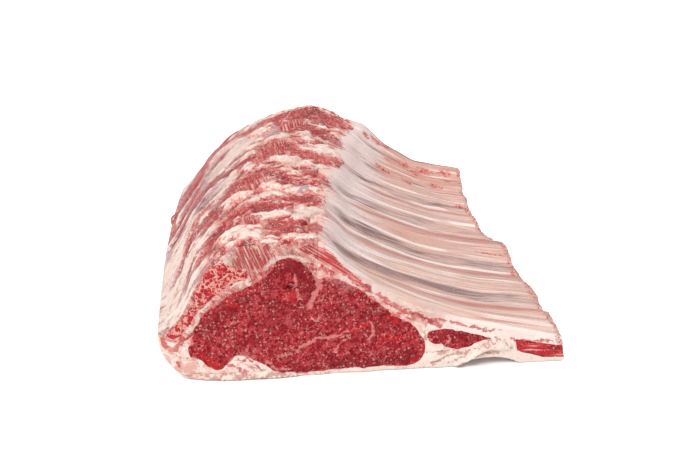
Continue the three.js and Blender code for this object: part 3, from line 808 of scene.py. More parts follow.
def closed_curve(points, spacing, wander=0.0):
    """A smooth closed line through points, in even steps, with an uneven course."""
    points = np.array(points, float)
    t = np.linspace(0, 1, 24, endpoint=False)[None, :, None]
    around = (np.roll(points, -k, axis=0)[:, None] for k in (-1, 0, 1, 2))
    line = smooth_run(*around, t).reshape(-1, 2)
    line = np.vstack([line, line[:1]])
    run = np.concatenate([[0], np.cumsum(np.linalg.norm(np.diff(line, axis=0), axis=1))])
    count = int(round(run[-1] / spacing))
    at = np.linspace(0, run[-1], count, endpoint=False)
    curve = np.column_stack([np.interp(at, run, line[:, k]) for k in (0, 1)])
    drift = together(rough_noise(curve, 7.0, 201), rough_noise(curve, 7.0, 211))
    return curve + wander * drift


def fine_stations():
    """Values of y for dense rows, closer together at the rounded rims."""
    rim = HALF_LENGTH - RIM_RUN * (1 - np.cos(np.linspace(0, np.pi / 2, 6)))
    inmost = HALF_LENGTH - RIM_RUN
    middle = np.linspace(-inmost, inmost, int((LENGTH - 2 * RIM_RUN) / FINE))
    return np.concatenate([-rim, middle[1:-1], rim[::-1]])


FINE_Y = fine_stations()
COARSE_Y = np.linspace(-HALF_LENGTH, HALF_LENGTH, COARSE_ROWS)
EYE_CURVE = closed_curve(EYE_OUTLINE, 1.25, 0.9)
TAIL_CURVE = closed_curve(TAIL_OUTLINE, 1.0, 0.8)
BAND_CURVE = closed_curve(BAND_OUTLINE, 1.0, 1.1)


def nearest_point(curve, place):
    return int(np.linalg.norm(curve - np.array(place), axis=1).argmin())


EYE_LEFT = nearest_point(EYE_CURVE, (-117, 33))
EYE_TOP = nearest_point(EYE_CURVE, (-31, 71))


def eye_at(y):
    share = share_along(np.asarray(y, float))[..., None, None]
    return EYE_CURVE * lerp(1, EYE_FAR_SCALE, share) + EYE_FAR_SHIFT * share


def tail_at(y):
    share = share_along(np.asarray(y, float))[..., None, None]
    return TAIL_CURVE + TAIL_FAR_SHIFT * share


def with_y(section, y):
    """Sections of x and z, one for each y, as points in space."""
    y = np.broadcast_to(np.asarray(y)[:, None], section.shape[:-1])
    return together(section[..., 0], y, section[..., 1])


def tube(body, fine, coarse, paint=None):
    """Sides of a piece from cut face to cut face: a dense run that shows and a hidden one.

    Both functions give sections for an array of y, and the hidden run starts where the dense one
    ends. Returns the closed sections of the two ends.
    """
    shown, hidden = fine(FINE_Y), coarse(COARSE_Y)
    body.grid(with_y(shown, FINE_Y), paint)
    dense, sparse = with_y(shown, FINE_Y), with_y(hidden, COARSE_Y)
    body.grid(sparse)
    body.seam(dense[:, -1], sparse[:, 0])
    body.seam(dense[:, 0], sparse[:, -1])
    return [np.vstack([shown[end], hidden[end]]) for end in (0, -1)]


# ---------------------------------------------------------------- pieces of the rack

def floor_line(y):
    """Points between the big muscle's left end and the spine side's widest bulge."""
    left = eye_at(y)[:, EYE_LEFT]
    bulge = upper_outline(y, 0.0)
    shares = np.array([0.3, 0.65])[None, :, None]
    line = lerp(left[:, None], bulge[:, None], shares)
    line[..., 1] -= 5
    return line


def neck_line(y):
    """The wall's head end, down to the top of the big muscle."""
    under = wall_place(y, np.zeros_like(y), 1.0)[:, None]
    top = eye_at(y)[:, EYE_TOP][:, None]
    return np.concatenate([under, lerp(under, top, 0.5)], axis=1)


def strip_marks(y):
    """Marks of the dense columns of the strip; its edge over the wall is ragged."""
    even = even_marks(0, HEAD_MARK - 0.07, FINE)
    base = np.concatenate([even, [4.955, 4.975, 4.99, 5.0]])
    places = together(y, np.zeros_like(y))
    edge = 0.32 * noise(places, 23.0, 101) + 0.2 * noise(places, 8.0, 102)
    edge += 0.16 * noise(places, 3.6, 103) + 0.08
    slide = smooth(4.2, 5.0, base)[None, :]
    return base + slide * (edge * inner(y))[:, None], base


def spine_meat(material):
    body = Body()
    marks, base = strip_marks(FINE_Y)
    y = FINE_Y[:, None]
    fields = strip_paint(arc_at(y, marks), np.broadcast_to(y, marks.shape))
    ledge = 1.3 * smooth(3.6, 4.8, base) - 2.4 * smooth(4.955, 5.0, base)
    height = strip_relief(fields) * (0.8 + 0.2 * inner(y, 8.0)) + ledge[None, :]
    height = height * smooth(-0.02, 0.35, base)[None, :] - rim_drop(y, RIM_RADIUS)
    surface = upper_outline(y, marks) + upper_normal(y, marks) * height[..., None]
    surface[..., 0] = np.maximum(surface[..., 0], -HALF_WIDTH - SIDE_ALLOWANCE)
    hole = fields.pop("hole")
    fields["deep"] = np.maximum(fields["deep"], hole)

    def hidden(stations):
        eye = eye_at(stations)
        back = eye[:, EYE_LEFT:EYE_TOP + 1][:, ::-1]
        return np.concatenate([neck_line(stations), back, floor_line(stations)], axis=1)

    near, far = tube(body, lambda _: surface, hidden, fields)
    band_sides(body)
    cap(body, [near, BAND_CURVE], -HALF_LENGTH, FINE, 6, soft_rim, cut_fields)
    cap(body, [far], HALF_LENGTH, FAR_SPACING, 7, soft_rim, cut_fields)
    body.build("spine_meat_torn", material, "spine_meat", "spine_meat")


def soft_rim(flat, gaps):
    """A cut face that stands slightly proud of its rim."""
    return 0.35 * smooth(0.0, 2.5, gaps)


def band_sides(body):
    """Sides and inner end of the split spine bone, or of the hollow that holds it."""
    depths = np.array([-HALF_LENGTH, -HALF_LENGTH + BAND_DEPTH])
    body.grid(with_y(closed(np.stack([BAND_CURVE] * 2)), depths))
    flat, faces = fill([BAND_CURVE], None)
    body.patch(np.column_stack([flat[:, 0], np.full(len(flat), depths[1]), flat[:, 1]]), faces)


def closed(rings):
    """Rings with their first point repeated at the end."""
    return np.concatenate([rings, rings[:, :1]], axis=1)


def cut_ends(near, far):
    """The outlines of both cut faces, each with its y."""
    return (near, -HALF_LENGTH), (far, HALF_LENGTH)


def muscle(section, spacing, seed, bulge, paint):
    """A body from cut face to cut face with hidden sides; its closed section is given for each y."""
    body = Body()
    rings = section(COARSE_Y)
    body.grid(with_y(closed(rings), COARSE_Y))
    for ring, y_end in cut_ends(rings[0], rings[-1]):
        cap(body, [ring], y_end, spacing, seed, bulge, paint)
    return body


# What shows inside the big muscle: kind, points as (x, z), half width.
EYE_STROKES = (
    ("seam", ((-31, 75), (-29, 69), (-33, 59), (-36, 50)), 2.3),
    ("seam", ((-46, 76), (-45, 67), (-44, 57)), 0.9),
    ("seam", ((-59, 14), (-45, 19), (-36, 25), (-24, 27), (-11, 30)), 1.0),
    ("seam", ((-36, 42), (-32, 38), (-29, 42)), 0.7),
    ("seam", ((-66, 12), (-60, 6), (-50, 5)), 1.2),
    ("seam", ((4, 37), (8, 30), (4, 24)), 0.6),
    ("seam", ((-20, 14), (-16, 22), (-9, 25)), 0.7),
    ("smear", ((13, 25), (27, 24)), 3.0),
    ("smear", ((-52, 60), (-49, 58)), 3.4),
    ("smear", ((34, 6), (42, 14), (42, 24)), 2.0),
    ("smear", ((-112, 22), (-106, 13), (-98, 8)), 2.6),
    ("smear", ((18, 42), (22, 38)), 3.0),
    ("dark", ((-51, 66), (-48, 64)), 1.9),
    ("dark", ((-66, 76), (-52, 82), (-42, 78), (-38, 66)), 6.0),
    ("dark", ((-42, 54), (-40, 47)), 3.5),
    ("dark", ((-112, 34), (-96, 48), (-76, 60)), 5.0),
    ("dark", ((-20, 8), (10, 8), (36, 10)), 5.0),
    ("dark", ((9, 48), (2, 42)), 5.0),
    ("gray", ((-20, 70), (-9, 65)), 4.0),
    ("smear", ((-14, 30), (-2, 34), (4, 36)), 1.8),
    ("smear", ((-92, 58), (-84, 52)), 1.6),
    ("smear", ((2, 60), (6, 56)), 1.4),
    ("gray", ((-84, 18), (-76, 14)), 2.0),
)


def eye_paint(x, z, y):
    flat = near_face_place(x, z, y)
    warp = together(noise(flat, 6.0, 111), noise(flat, 6.0, 112)) * 1.4
    fields = drawn(("seam", "smear", "dark", "gray"), EYE_STROKES, flat + warp)
    fields["rim"] = 1 - smooth(0.0, 3.0, gap_to(flat, [EYE_CURVE]))
    return fields


def eye_bulge(flat, gaps):
    """The muscle swells past the cut plane, with a hole beside its round lobe."""
    hollow = spot(flat, (-50, 65), 2.6, 1.9, -20) ** 2
    vessel = spot(flat, (-51, 59.5), 3.2, 2.6, 0)
    grain = 0.28 * noise(flat, 3.4, 113) + 0.2 * noise(flat, 1.9, 114)
    swell = 0.9 * smooth(0.0, 5.0, gaps) + grain * smooth(0.0, 1.5, gaps)
    return swell - 4.0 * hollow + 0.5 * vessel


def eye_muscle(material):
    body = muscle(eye_at, 1.08, 8, eye_bulge, eye_paint)
    body.build("eye_muscle_marbled", material, "eye_muscle", "lean_meat")


def tail_paint(x, z, y):
    flat = together(x, z)
    return {
        "dark": 0.75 * spot(flat, (66, 21), 22, 6, -8),
        "seam": stroke(flat, ((58, 17), (62, 21), (60, 24)), 0.7),
        "smear": 0.6 * stroke(flat, ((50, 22), (70, 16)), 1.6),
    }


def tail_bulge(flat, gaps):
    return 0.4 * smooth(0.0, 3.0, gaps) + 0.25 * noise(flat, 3.0, 115)


def tail_muscle(material):
    body = muscle(tail_at, 0.95, 9, tail_bulge, tail_paint)
    body.build("tail_muscle_lean", material, "tail_muscle", "lean_meat")


def strip_floor(y):
    """Underside of the raw strip, from the sawn face in to its tip."""
    shares = np.sin(np.linspace(0, np.pi / 2, 18))[None, 1:-1]
    tip = wall_place(y, np.full_like(y, STRIP_TIP), 1.0)
    corner = sawn_edge(y) + SAWN_FLARE
    x = lerp(corner[:, None], tip[:, :1], shares)
    rise = 0.5 * shares ** 2.8 + 0.5 * smooth(0.965, 1.0, shares)
    wave = 0.9 * noise(together(x, y[:, None] + 0 * x), 5.0, 226) * np.sin(np.pi * shares)
    return together(x, SAWN_FOOT + (tip[:, 1:] - SAWN_FOOT) * rise + wave)


def strip_roof(y):
    """Top of the raw strip, from its tip out to the sawn face, under the wall."""
    outward = np.linspace(STRIP_TIP, 1.0, 14)[None, :]
    return wall_place(y[:, None], np.broadcast_to(outward, (len(y), 14)), 1.0)


def sawn_side(y, z_low, z_high, count):
    """The sawn face between two heights."""
    top = wall_place(y, np.ones_like(y))
    share = np.linspace(0, 1, count)[None, :]
    z = lerp(z_high[:, None], z_low[:, None], share)
    full = np.maximum(top[:, 1] - SAWN_FOOT, 1.0)[:, None]
    x = sawn_edge(y)[:, None] + SAWN_FLARE * (top[:, 1][:, None] - z) / full
    relief = rough_noise(together(y[:, None] + 0 * z, z), 6.0, 121) * 0.6 + 0.3
    ease = np.sin(np.pi * share) ** 0.5
    return together(x + relief * ease + sawn_wear(y[:, None], z), z)


def end_strip(material):
    body = Body()
    foot = np.full_like(FINE_Y, SAWN_FOOT)
    roof = strip_roof(FINE_Y)[:, -1, 1]
    shown = sawn_side(FINE_Y, foot, roof, 14)

    def hidden(stations):
        return np.concatenate([strip_floor(stations), strip_roof(stations)[:, :-1]], axis=1)

    fields = {"chart": together(FINE_Y[:, None], shown[..., 1], 0.0)}
    near, far = tube(body, lambda _: shown, hidden, fields)
    for ring, y_end in cut_ends(near, far):
        cap(body, [ring], y_end, 0.95, 10, soft_rim, raw_paint)
    body.build("end_strip_raw", material, "end_strip", "raw_strip")


def raw_paint(x, z, y):
    return {"chart": together(x, z, 0.0)}


def arch(x, y):
    """How far the base is off the ground under the thin flap of fat at the near face."""
    span = np.clip(1 - ((x - 90) / 22) ** 2, 0, 1)
    return 6.0 * span ** 0.8 * smooth(-118, -158, y)


def fat_cap(material):
    body = Body()
    y = FINE_Y[:, None]
    bulge = upper_outline(y, 0.0)
    angles = np.linspace(np.pi / 2, 0, 44)[None, :]
    flat_left = bulge[..., 0] + FOOT_INSET
    foot_x = flat_left - FOOT_INSET * np.sin(angles)
    foot_z = bulge[..., 1] * (1 - np.cos(angles))
    corner = sawn_edge(y) + SAWN_FLARE
    shares = np.linspace(0, 1, 72)[None, 1:]
    base_x = lerp(flat_left, corner - SAWN_FOOT / 2, shares)
    base_z = arch(base_x, y)
    rise = np.linspace(0, 1, 5)[None, 1:]
    rise_x = corner - SAWN_FOOT / 2 * (1 - rise)
    rise_z = np.maximum(SAWN_FOOT * rise, 0) + 0 * y
    x = np.concatenate([foot_x, base_x, rise_x], axis=1)
    z = np.concatenate([foot_z, base_z, rise_z], axis=1)
    flat = [0 * base_x, 0 * rise_x]
    swell = np.concatenate([np.sin(2 * angles) + 0 * y, *flat], axis=1)
    relief = 1.1 * rough_noise(together(x, y + 0 * x, z), 24.0, 131) * swell
    steep = np.concatenate([np.sin(angles) + 0 * y, *flat], axis=1)
    drop = rim_drop(y, RIM_RADIUS) * steep
    shown = together(x - relief + drop, z - 0.6 * relief * steep)
    shown[:, 0] = upper_outline(FINE_Y, 0.0)
    shown[:, 0, 0] += rim_drop(FINE_Y, RIM_RADIUS)
    fields = fat_paint(x, y + 0 * x, z)

    def hidden(stations):
        floor = strip_floor(stations)
        outward = np.linspace(STRIP_TIP, 0.0, 40)[None, :]
        spread = np.broadcast_to(outward, (len(stations), 40))
        under = wall_place(stations[:, None], spread, 1.0)
        neck = neck_line(stations)[:, 1:]
        eye = eye_at(stations)
        around = np.concatenate([eye[:, EYE_TOP:], eye[:, :EYE_LEFT + 1]], axis=1)
        return np.concatenate([floor, under, neck, around, floor_line(stations)], axis=1)

    near, far = tube(body, lambda _: shown, hidden, fields)
    tail = tail_at(COARSE_Y)
    body.grid(with_y(closed(tail), COARSE_Y))
    cap(body, [near, tail[0]], -HALF_LENGTH, FINE, 11, fat_bulge, cut_fields)
    cap(body, [far, tail[-1]], HALF_LENGTH, FAR_SPACING, 12, soft_rim, cut_fields)
    body.build("fat_cap_cream", material, "fat_cap", "fat")


# Folds and fissures of the fat at the near face: points as (x, z), half width, height.
FAT_FOLDS = (
    (((68, 1), (73, 4), (81, 10), (91, 14.5), (103, 13.5)), 2.2, 2.6),
    (((50, 14), (62, 10), (72, 9), (82, 12)), 2.6, 1.0),
    (((46, 8), (58, 6), (68, 5)), 2.4, 0.8),
    (((66, -1), (70.5, 1), (78, 6), (87, 10.2), (97, 9.6)), 0.8, -2.4),
    (((49, 4), (61, 8.5), (74, 12)), 0.7, -1.5),
    (((44, 12), (56, 12.5), (68, 12)), 0.6, -1.2),
    (((-126, 6), (-100, 4), (-70, 3)), 0.7, -1.2),
)
FLAP_MIDDLE = -78.0
FLAP_HALF = 36.0
FLAP_REACH = 3.0


def fat_bulge(flat, gaps):
    """Fat of the near face: folds, fissures, and a thin rim that lies on the ground."""
    lift = soft_rim(flat, gaps)
    warp = together(noise(flat, 6.0, 227), noise(flat, 6.0, 228)) * 0.8
    for points, half_width, height in FAT_FOLDS:
        lift += height * stroke(flat + warp, points, half_width) * smooth(0.0, 1.6, gaps)
    share = np.clip(1 - ((flat[:, 0] - FLAP_MIDDLE) / FLAP_HALF) ** 2, 0, 1) ** 0.5
    wave = 1 + 0.25 * noise(flat[:, :1] * (1, 0), 9.0, 229)
    return lift + FLAP_REACH * share * wave * smooth(4.6, 2.0, flat[:, 1]) * smooth(0.0, 1.2, gaps)


def fat_paint(x, y, z):
    """Paint of the outside of the fat: the spine side's foot and the base."""
    places = together(x, y, z)
    patchy = rough_noise(places, 28.0, 141)
    return {
        "raw": np.clip(0.30 + 0.3 * rough_noise(places, 17.0, 151), 0, 1) * smooth(12, 32, z),
        "pale": np.clip(0.4 + 0.5 * patchy, 0, 1),
        "blush": np.clip(0.3 + 0.3 * patchy + 0.3 * smooth(10, 34, z), 0, 1),
        "chart": together(x, y, 0.0),
        "flow": together(y * 0.4 + z * 1.6, x - y * 0.2, 0.0),
    }


def spine_bone(material):
    body = Body()
    band_sides(body)
    cap(body, [BAND_CURVE], -HALF_LENGTH, 0.85, 13, band_bulge, raw_paint)
    body.build("spine_bone_marrow", material, "spine_bone", "marrow_bone")


def band_bulge(flat, gaps):
    pores = 0.45 * noise(flat, 2.2, 161) + 0.3 * noise(flat, 1.2, 162)
    return (0.4 + pores) * smooth(0.0, 2.0, gaps)


# ---------------------------------------------------------------- ribs and their wall

def knots(outward):
    """y of the edges of all ribs, with the cut faces as the first and the last."""
    taper = smooth(-0.1, 0.3, outward)
    half = RIB_HALF_WIDTH * lerp(RIB_NECK_SHARE, 1.0, taper)
    lines = [np.full_like(outward, -HALF_LENGTH)]
    for i in range(RIB_COUNT):
        centre = rib_line(i, outward)
        lines += [centre - half] * (i > 0) + [centre + half] * (i < RIB_COUNT - 1)
    lines.append(np.full_like(outward, HALF_LENGTH))
    return np.stack(lines, axis=-1)


def ribbed_loft(body, ring, ridge_height):
    """Closed rings from the heads of the ribs to their sawn ends; returns them.

    The ring is given as pairs: position among the knots, and drop below the ribbed side.
    """
    columns, drops = np.array(ring, float).T
    rows = int(WALL_RUN / FINE)
    below = np.clip(np.floor(columns).astype(int), 0, 2 * RIB_COUNT - 2)
    part = columns - below
    head_knots = knots(np.zeros(1))[0]
    head_y = lerp(head_knots[below], head_knots[below + 1], part)
    start = -0.05 * inner(head_y, 10.0)
    outward = lerp(start[None, :], 1.0, np.linspace(0, 1, rows)[:, None])
    lines = knots(outward)
    pick = np.broadcast_to(below[None, :, None], (rows, len(columns), 1))
    low = np.take_along_axis(lines, pick, axis=-1)[..., 0]
    high = np.take_along_axis(lines, pick + 1, axis=-1)[..., 0]
    y = lerp(low, high, part[None, :])
    height = ridge(y, outward, ridge_height) * (1 - np.clip(drops, 0, 1))[None, :]
    place = wall_place(y, outward, drops[None, :] + 0 * y, height)
    places = together(place[..., 0], y, place[..., 1])
    loops, closed_out = closed(places), closed(outward)
    closed_drops = np.array([*drops, drops[0]])[None, :] + 0 * closed_out
    body.grid(loops, wall_paint(loops, closed_out, closed_drops))
    return places


# Across the channel of a rib: position, and share of the channel's depth.
CHANNEL = ((0.0, 0.0), (0.0, 0.5), (0.1, 1.0), (0.5, 1.0), (0.9, 1.0), (1.0, 0.5), (1.0, 0.0))
EDGE_STEP = 0.003
BELOW_CHANNEL = 0.84      # drop of the wall's corner points under the outer channels


def channel_columns(index):
    """Knot positions and drops across the channel that holds a rib."""
    shape = [(index * 2 + at, depth * CHANNEL_SHARE) for at, depth in CHANNEL]
    if index == 0:
        shape = [(0.0, CHANNEL_SHARE), (0.5, CHANNEL_SHARE)] + shape[4:]
    if index == RIB_COUNT - 1:
        shape = shape[:3] + [(index * 2 + 0.5, CHANNEL_SHARE), (index * 2 + 1.0, CHANNEL_SHARE)]
    return shape


def spread(low, high, count):
    """Positions across a strip, with one beside each edge so that the edges stay crisp."""
    inside = np.linspace(low, high, count)[1:-1]
    return [low, low + EDGE_STEP, *inside, high - EDGE_STEP, high]


def ring_x(ring, flat, x):
    """x of the places of an end: the ring's own where a place lies on it, or else the given one."""
    known = {tuple(np.round(p[1:], 6)): p[0] for p in ring}
    return np.array([known.get(tuple(np.round(p, 6)), value) for p, value in zip(flat, x)])


def sawn_end(body, ring, seed, paint, rim_rise=0.0):
    """Closes the sawn end of a rib or of the wall; a rib's rim of dense bone stands up a little."""
    outline = ring[:, 1:]
    flat, faces = fill([outline], SAWN_SPACING, seed)
    y, z = flat[:, 0], flat[:, 1]
    top = wall_place(y, np.ones_like(y))
    full = np.maximum(top[:, 1] - SAWN_FOOT, 1.0)
    x = sawn_edge(y) + SAWN_FLARE * np.clip(top[:, 1] - z, 0, None) / full + sawn_wear(y, z)
    gaps = gap_to(flat, [outline])
    x = ring_x(ring, flat, x)
    pores = 0.5 * noise(flat, 2.6, 171) + 0.35 * noise(flat, 1.4, 172)
    x = x + (0.5 + pores) * smooth(0.0, 1.6, gaps) + rim_rise * bump(gaps, 1.2, 0.8)
    body.patch(np.column_stack([x, y, z]), faces, paint(y, z, gaps))


def bone_end_paint(y, z, gaps):
    """The sawn end of a rib: porous marrow inside a rim of dense bone."""
    chart = together(y, z, 0.0)
    inside = smooth(0.6, 2.4, gaps)
    return {"sawn": inside, "pale": 0.9 * (1 - inside), "flow": chart, "chart": chart}


def meat_end_paint(y, z, gaps):
    """The sawn face between the ribs: raw meat under a skin."""
    chart = together(y, z, 0.0)
    inside = smooth(0.3, 1.4, gaps)
    return {"raw": 0.95 * inside, "deep": 0.5 * inside, "blush": 0.5 + 0 * y, "flow": chart, "chart": chart}


def rib_piece(index, material, ridge_height):
    body = Body()
    first, last = index * 2.0, index * 2 + 1.0
    low = channel_columns(index)[::-1]
    if index == 0:
        low = low[1:] + [(first, drop) for drop in np.linspace(CHANNEL_SHARE, 0, 6)[1:-1]]
    elif index == RIB_COUNT - 1:
        low = [(last, drop) for drop in np.linspace(0, CHANNEL_SHARE, 6)[1:-1]] + low[:-1]
    else:
        low = low[1:-1]
    top = [(at, 0.0) for at in spread(first, last, 26)]
    places = ribbed_loft(body, top + low, ridge_height)
    sawn_end(body, places[-1], 20 + index, bone_end_paint, 0.7)
    hidden_head(body, places[0])
    body.build(f"rib_{index + 1}_bone", material, f"rib_{index + 1}", "rib_bone")


def hidden_head(body, ring):
    """Closes an end that lies inside the meat."""
    flat, faces = fill([ring[:, 1:]], None)
    x = ring_x(ring, flat, np.full(len(flat), ring[0, 0]))
    body.patch(np.column_stack([x, flat[:, 0], flat[:, 1]]), faces)


def rib_wall(material, ridge_height):
    body = Body()
    ring = []
    for index in range(RIB_COUNT):
        ring += channel_columns(index)
        if index < RIB_COUNT - 1:
            ring += [(at, 0.0) for at in spread(index * 2 + 1.0, index * 2 + 2.0, 24)[1:-1]]
    last = 2 * RIB_COUNT - 1.0
    ring.append((last, BELOW_CHANNEL))
    ring += [(at, 1.0) for at in np.linspace(last, 0, 14)]
    ring.append((0.0, BELOW_CHANNEL))
    places = ribbed_loft(body, ring, ridge_height)
    sawn_end(body, places[-1], 30, meat_end_paint)
    hidden_head(body, places[0])
    body.build("rib_wall_membrane", material, "rib_wall", "rib_membrane")


def bone_stub(index, material):
    """A flat knob of sawn bone let into the torn strip."""
    x, y, half_long, half_wide, turn = STUBS[index]
    marks = np.linspace(0.5, HEAD_MARK, 200)
    line = upper_outline(np.full(200, float(y)), marks)
    mark = float(np.interp(x, line[:, 0], marks))
    arc = float(arc_at(y, mark))
    rings, spokes = 18, 56
    radius = np.concatenate([np.linspace(0.02, 1.0, rings), np.full(4, 1.0)])[:, None]
    angle = np.linspace(0, 2 * np.pi, spokes, endpoint=False)[None, :]
    wobble = 1 + 0.22 * noise(together(np.cos(angle), np.sin(angle)) * 1.7 + 3.1 * index, 1.0, 181)
    u = radius * half_long * np.cos(angle) * wobble
    v = radius * half_wide * np.sin(angle) * wobble
    spin = math.radians(turn)
    along = arc + u * math.cos(spin) - v * math.sin(spin)
    across = y + u * math.sin(spin) + v * math.cos(spin)
    row = int(np.abs(ARC_Y - y).argmin())
    place_marks = np.interp(along, ARC[row], ARC_MARKS)
    across = np.clip(across, -HALF_LENGTH + 2, HALF_LENGTH - 2)
    dome = STUB_RISE * np.clip(1 - radius ** 3.0, 0, 1) + 0 * angle
    grain = 0.4 * rough_noise(together(along, across), 5.0, 190 + index)
    sink = np.concatenate([np.zeros(rings), [-1.5, -3.0, -4.5, -5.0]])[:, None]
    base = strip_relief(strip_paint(along, across))
    height = 0.45 * base + dome + grain - 0.6 + sink
    surface = upper_outline(across, place_marks)
    surface = surface + upper_normal(across, place_marks) * height[..., None]
    places = together(surface[..., 0], across, surface[..., 1])
    loops = closed(places)
    body = Body()
    wear = np.clip(radius + 0 * loops[..., 0], 0, 1)
    body.grid(loops, {"rim": wear ** 2})
    for end in (0, -1):
        ring = places[end]
        centre = ring.mean(axis=0)
        fan = [(k, (k + 1) % spokes, spokes) for k in range(spokes)]
        body.patch(np.vstack([ring, centre]), fan)
    body.build(f"bone_stub_{index + 1}_cap", material, f"bone_stub_{index + 1}", "sawn_bone")


# ---------------------------------------------------------------- shader helpers

def tone(red, green, blue):
    """A colour as seen in the picture, 0 to 255, as the linear values that shaders take."""
    parts = (red / 255, green / 255, blue / 255)
    return tuple(c / 12.92 if c <= 0.04045 else ((c + 0.055) / 1.055) ** 2.4 for c in parts)


class Shader:
    """Adds nodes to a tree, so that a material reads from top to bottom."""

    def __init__(self, tree, finish=None):
        self.tree = tree
        self.finish = finish

    def node(self, kind, inputs=(), **settings):
        """A new node; its inputs are given by name or number."""
        made = self.tree.nodes.new(kind)
        for name, value in settings.items():
            setattr(made, name, value)
        for name, value in dict(inputs).items():
            self.give(value, made.inputs[name])
        return made

    def give(self, value, socket):
        """Links or sets a socket; a colour of the finish is given by its name."""
        if isinstance(value, str):
            value = self.finish.colours[value]
        if isinstance(value, bpy.types.NodeSocket):
            self.tree.links.new(value, socket)
        elif socket.type == "RGBA" and len(value) == 3:
            socket.default_value = (*value, 1.0)
        else:
            socket.default_value = value

    def maths(self, operation, first, second=0.0, clamp=False):
        terms = {0: first, 1: second}
        return self.node("ShaderNodeMath", terms, operation=operation, use_clamp=clamp).outputs[0]

    def times(self, first, second):
        return self.maths("MULTIPLY", first, second)

    def plus(self, first, second):
        return self.maths("ADD", first, second)

    def swing(self, value, amount):
        """A value from 0 to 1 as a change about zero, amount from end to end."""
        return self.times(self.plus(value, -0.5), amount)

    def stretch(self, vector, scales):
        terms = {0: vector, 1: scales}
        return self.node("ShaderNodeVectorMath", terms, operation="MULTIPLY").outputs[0]

    def noise(self, place, size, detail=3.0, roughness=0.55, bend=0.0):
        """Noise from 0 to 1 with bumps about size across."""
        inputs = {"Vector": place, "Scale": 1.0 / size, "Detail": detail}
        inputs.update({"Roughness": roughness, "Distortion": bend})
        return self.node("ShaderNodeTexNoise", inputs, noise_dimensions="3D").outputs[0]

    def warped(self, place, size, amount):
        """Places pushed about by noise with bumps about size across."""
        inputs = {"Vector": place, "Scale": 1.0 / size}
        bend = self.node("ShaderNodeTexNoise", inputs, noise_dimensions="3D")
        terms = {0: place, 1: self.stretch(bend.outputs[1], (amount,) * 3)}
        return self.node("ShaderNodeVectorMath", terms, operation="ADD").outputs[0]

    def cells(self, place, size, feature="F1"):
        inputs = {"Vector": place, "Scale": 1.0 / size}
        kind = {"voronoi_dimensions": "3D", "feature": feature}
        return self.node("ShaderNodeTexVoronoi", inputs, **kind)

    def ramp(self, value, low, high, to_low=0.0, to_high=1.0):
        """A smooth step from one value to another."""
        inputs = enumerate((value, low, high, to_low, to_high))
        return self.node("ShaderNodeMapRange", inputs, interpolation_type="SMOOTHSTEP").outputs[0]

    def mix(self, share, first, second):
        colours = {0: share, 6: first, 7: second}
        return self.node("ShaderNodeMix", colours, data_type="RGBA").outputs[2]

    def lay(self, below, colour, mask, strength=1.0):
        """A colour laid over another where a mask lets it."""
        return self.mix(self.times(mask, strength), below, colour)

    def over(self, below, colour, value, low, high, strength=1.0):
        """A colour laid over another where a value passes from low to high."""
        return self.mix(self.ramp(value, low, high, 0.0, strength), below, colour)

    def thread(self, value, centre, width, strength=1.0):
        """Thin winding lines, where a value is close to its centre."""
        away = self.maths("ABSOLUTE", self.plus(value, -centre))
        return self.ramp(away, 0.0, width, strength, 0.0)

    def field(self, name):
        return self.node("ShaderNodeAttribute", attribute_name=name).outputs["Fac"]

    def vector_field(self, name):
        return self.node("ShaderNodeAttribute", attribute_name=name).outputs["Vector"]

    def place(self):
        """Place on the piece, in millimetres."""
        return self.stretch(self.node("ShaderNodeTexCoord").outputs["Object"], (1000, 1000, 1000))

    def group(self, name, **inputs):
        """Outputs of one of the groups that materials share."""
        return self.node("ShaderNodeGroup", inputs, node_tree=self.finish.groups[name]).outputs

    def torn(self, field, place, tear, softness):
        """The mask of a field, or of the field of that name, with a torn edge."""
        field = self.field(field) if isinstance(field, str) else field
        return self.group("torn edge", Field=field, Place=place, Tear=tear, Softness=softness)[0]

    def strands(self, flow, length, width):
        """Streaks of about that length and width along a flow: broad and fine ones."""
        return self.group("strands", Flow=flow, Stretch=(1 / length, 1 / width, 1.0))

    def flecks(self, place, scale, share, reach):
        """Flecks in a share of the cells; the cells grow as the scale falls."""
        small = self.stretch(place, (scale,) * 3)
        return self.group("flecks", Place=small, Share=share, Reach=reach)[0]

    def tissue(self, base, place, cool=0.0):
        """Patches of tissue over a base colour, from the piece's own fields: colour and height."""
        fields = {label: self.field(label.lower()) for label in ("Raw", "Deep", "Pale", "Stria")}
        chart = self.vector_field("chart")
        return self.group("tissue", Base=base, Place=place, Chart=chart, Cool=cool, **fields)


KINDS = {"value": "NodeSocketFloat", "vector": "NodeSocketVector", "colour": "NodeSocketColor"}


def new_group(name, inputs, outputs):
    """A node group with named inputs and outputs; returns it and both ends' sockets."""
    tree = bpy.data.node_groups.new(name, "ShaderNodeTree")
    for label, kind in inputs:
        tree.interface.new_socket(label, in_out="INPUT", socket_type=KINDS[kind])
    for label, kind in outputs:
        tree.interface.new_socket(label, in_out="OUTPUT", socket_type=KINDS[kind])
    source = tree.nodes.new("NodeGroupInput")
    result = tree.nodes.new("NodeGroupOutput")
    return tree, source.outputs, result.inputs


def torn_edge_group(finish):
    """A soft field made into a patch with a torn edge."""
    tree, given, result = new_group(
        "torn edge",
        (("Field", "value"), ("Place", "vector"), ("Tear", "value"), ("Softness", "value")),
        (("Mask", "value"),),
    )
    s = Shader(tree, finish)
    coarse = s.noise(given["Place"], 3.6, 5.0, 0.68)
    tear = s.swing(coarse, given["Tear"])
    near = s.maths("MULTIPLY", given["Field"], 4.0, clamp=True)
    value = s.plus(given["Field"], s.times(tear, near))
    low = s.maths("SUBTRACT", 0.5, given["Softness"])
    high = s.plus(given["Softness"], 0.5)
    s.give(s.ramp(value, low, high), result["Mask"])
    return tree


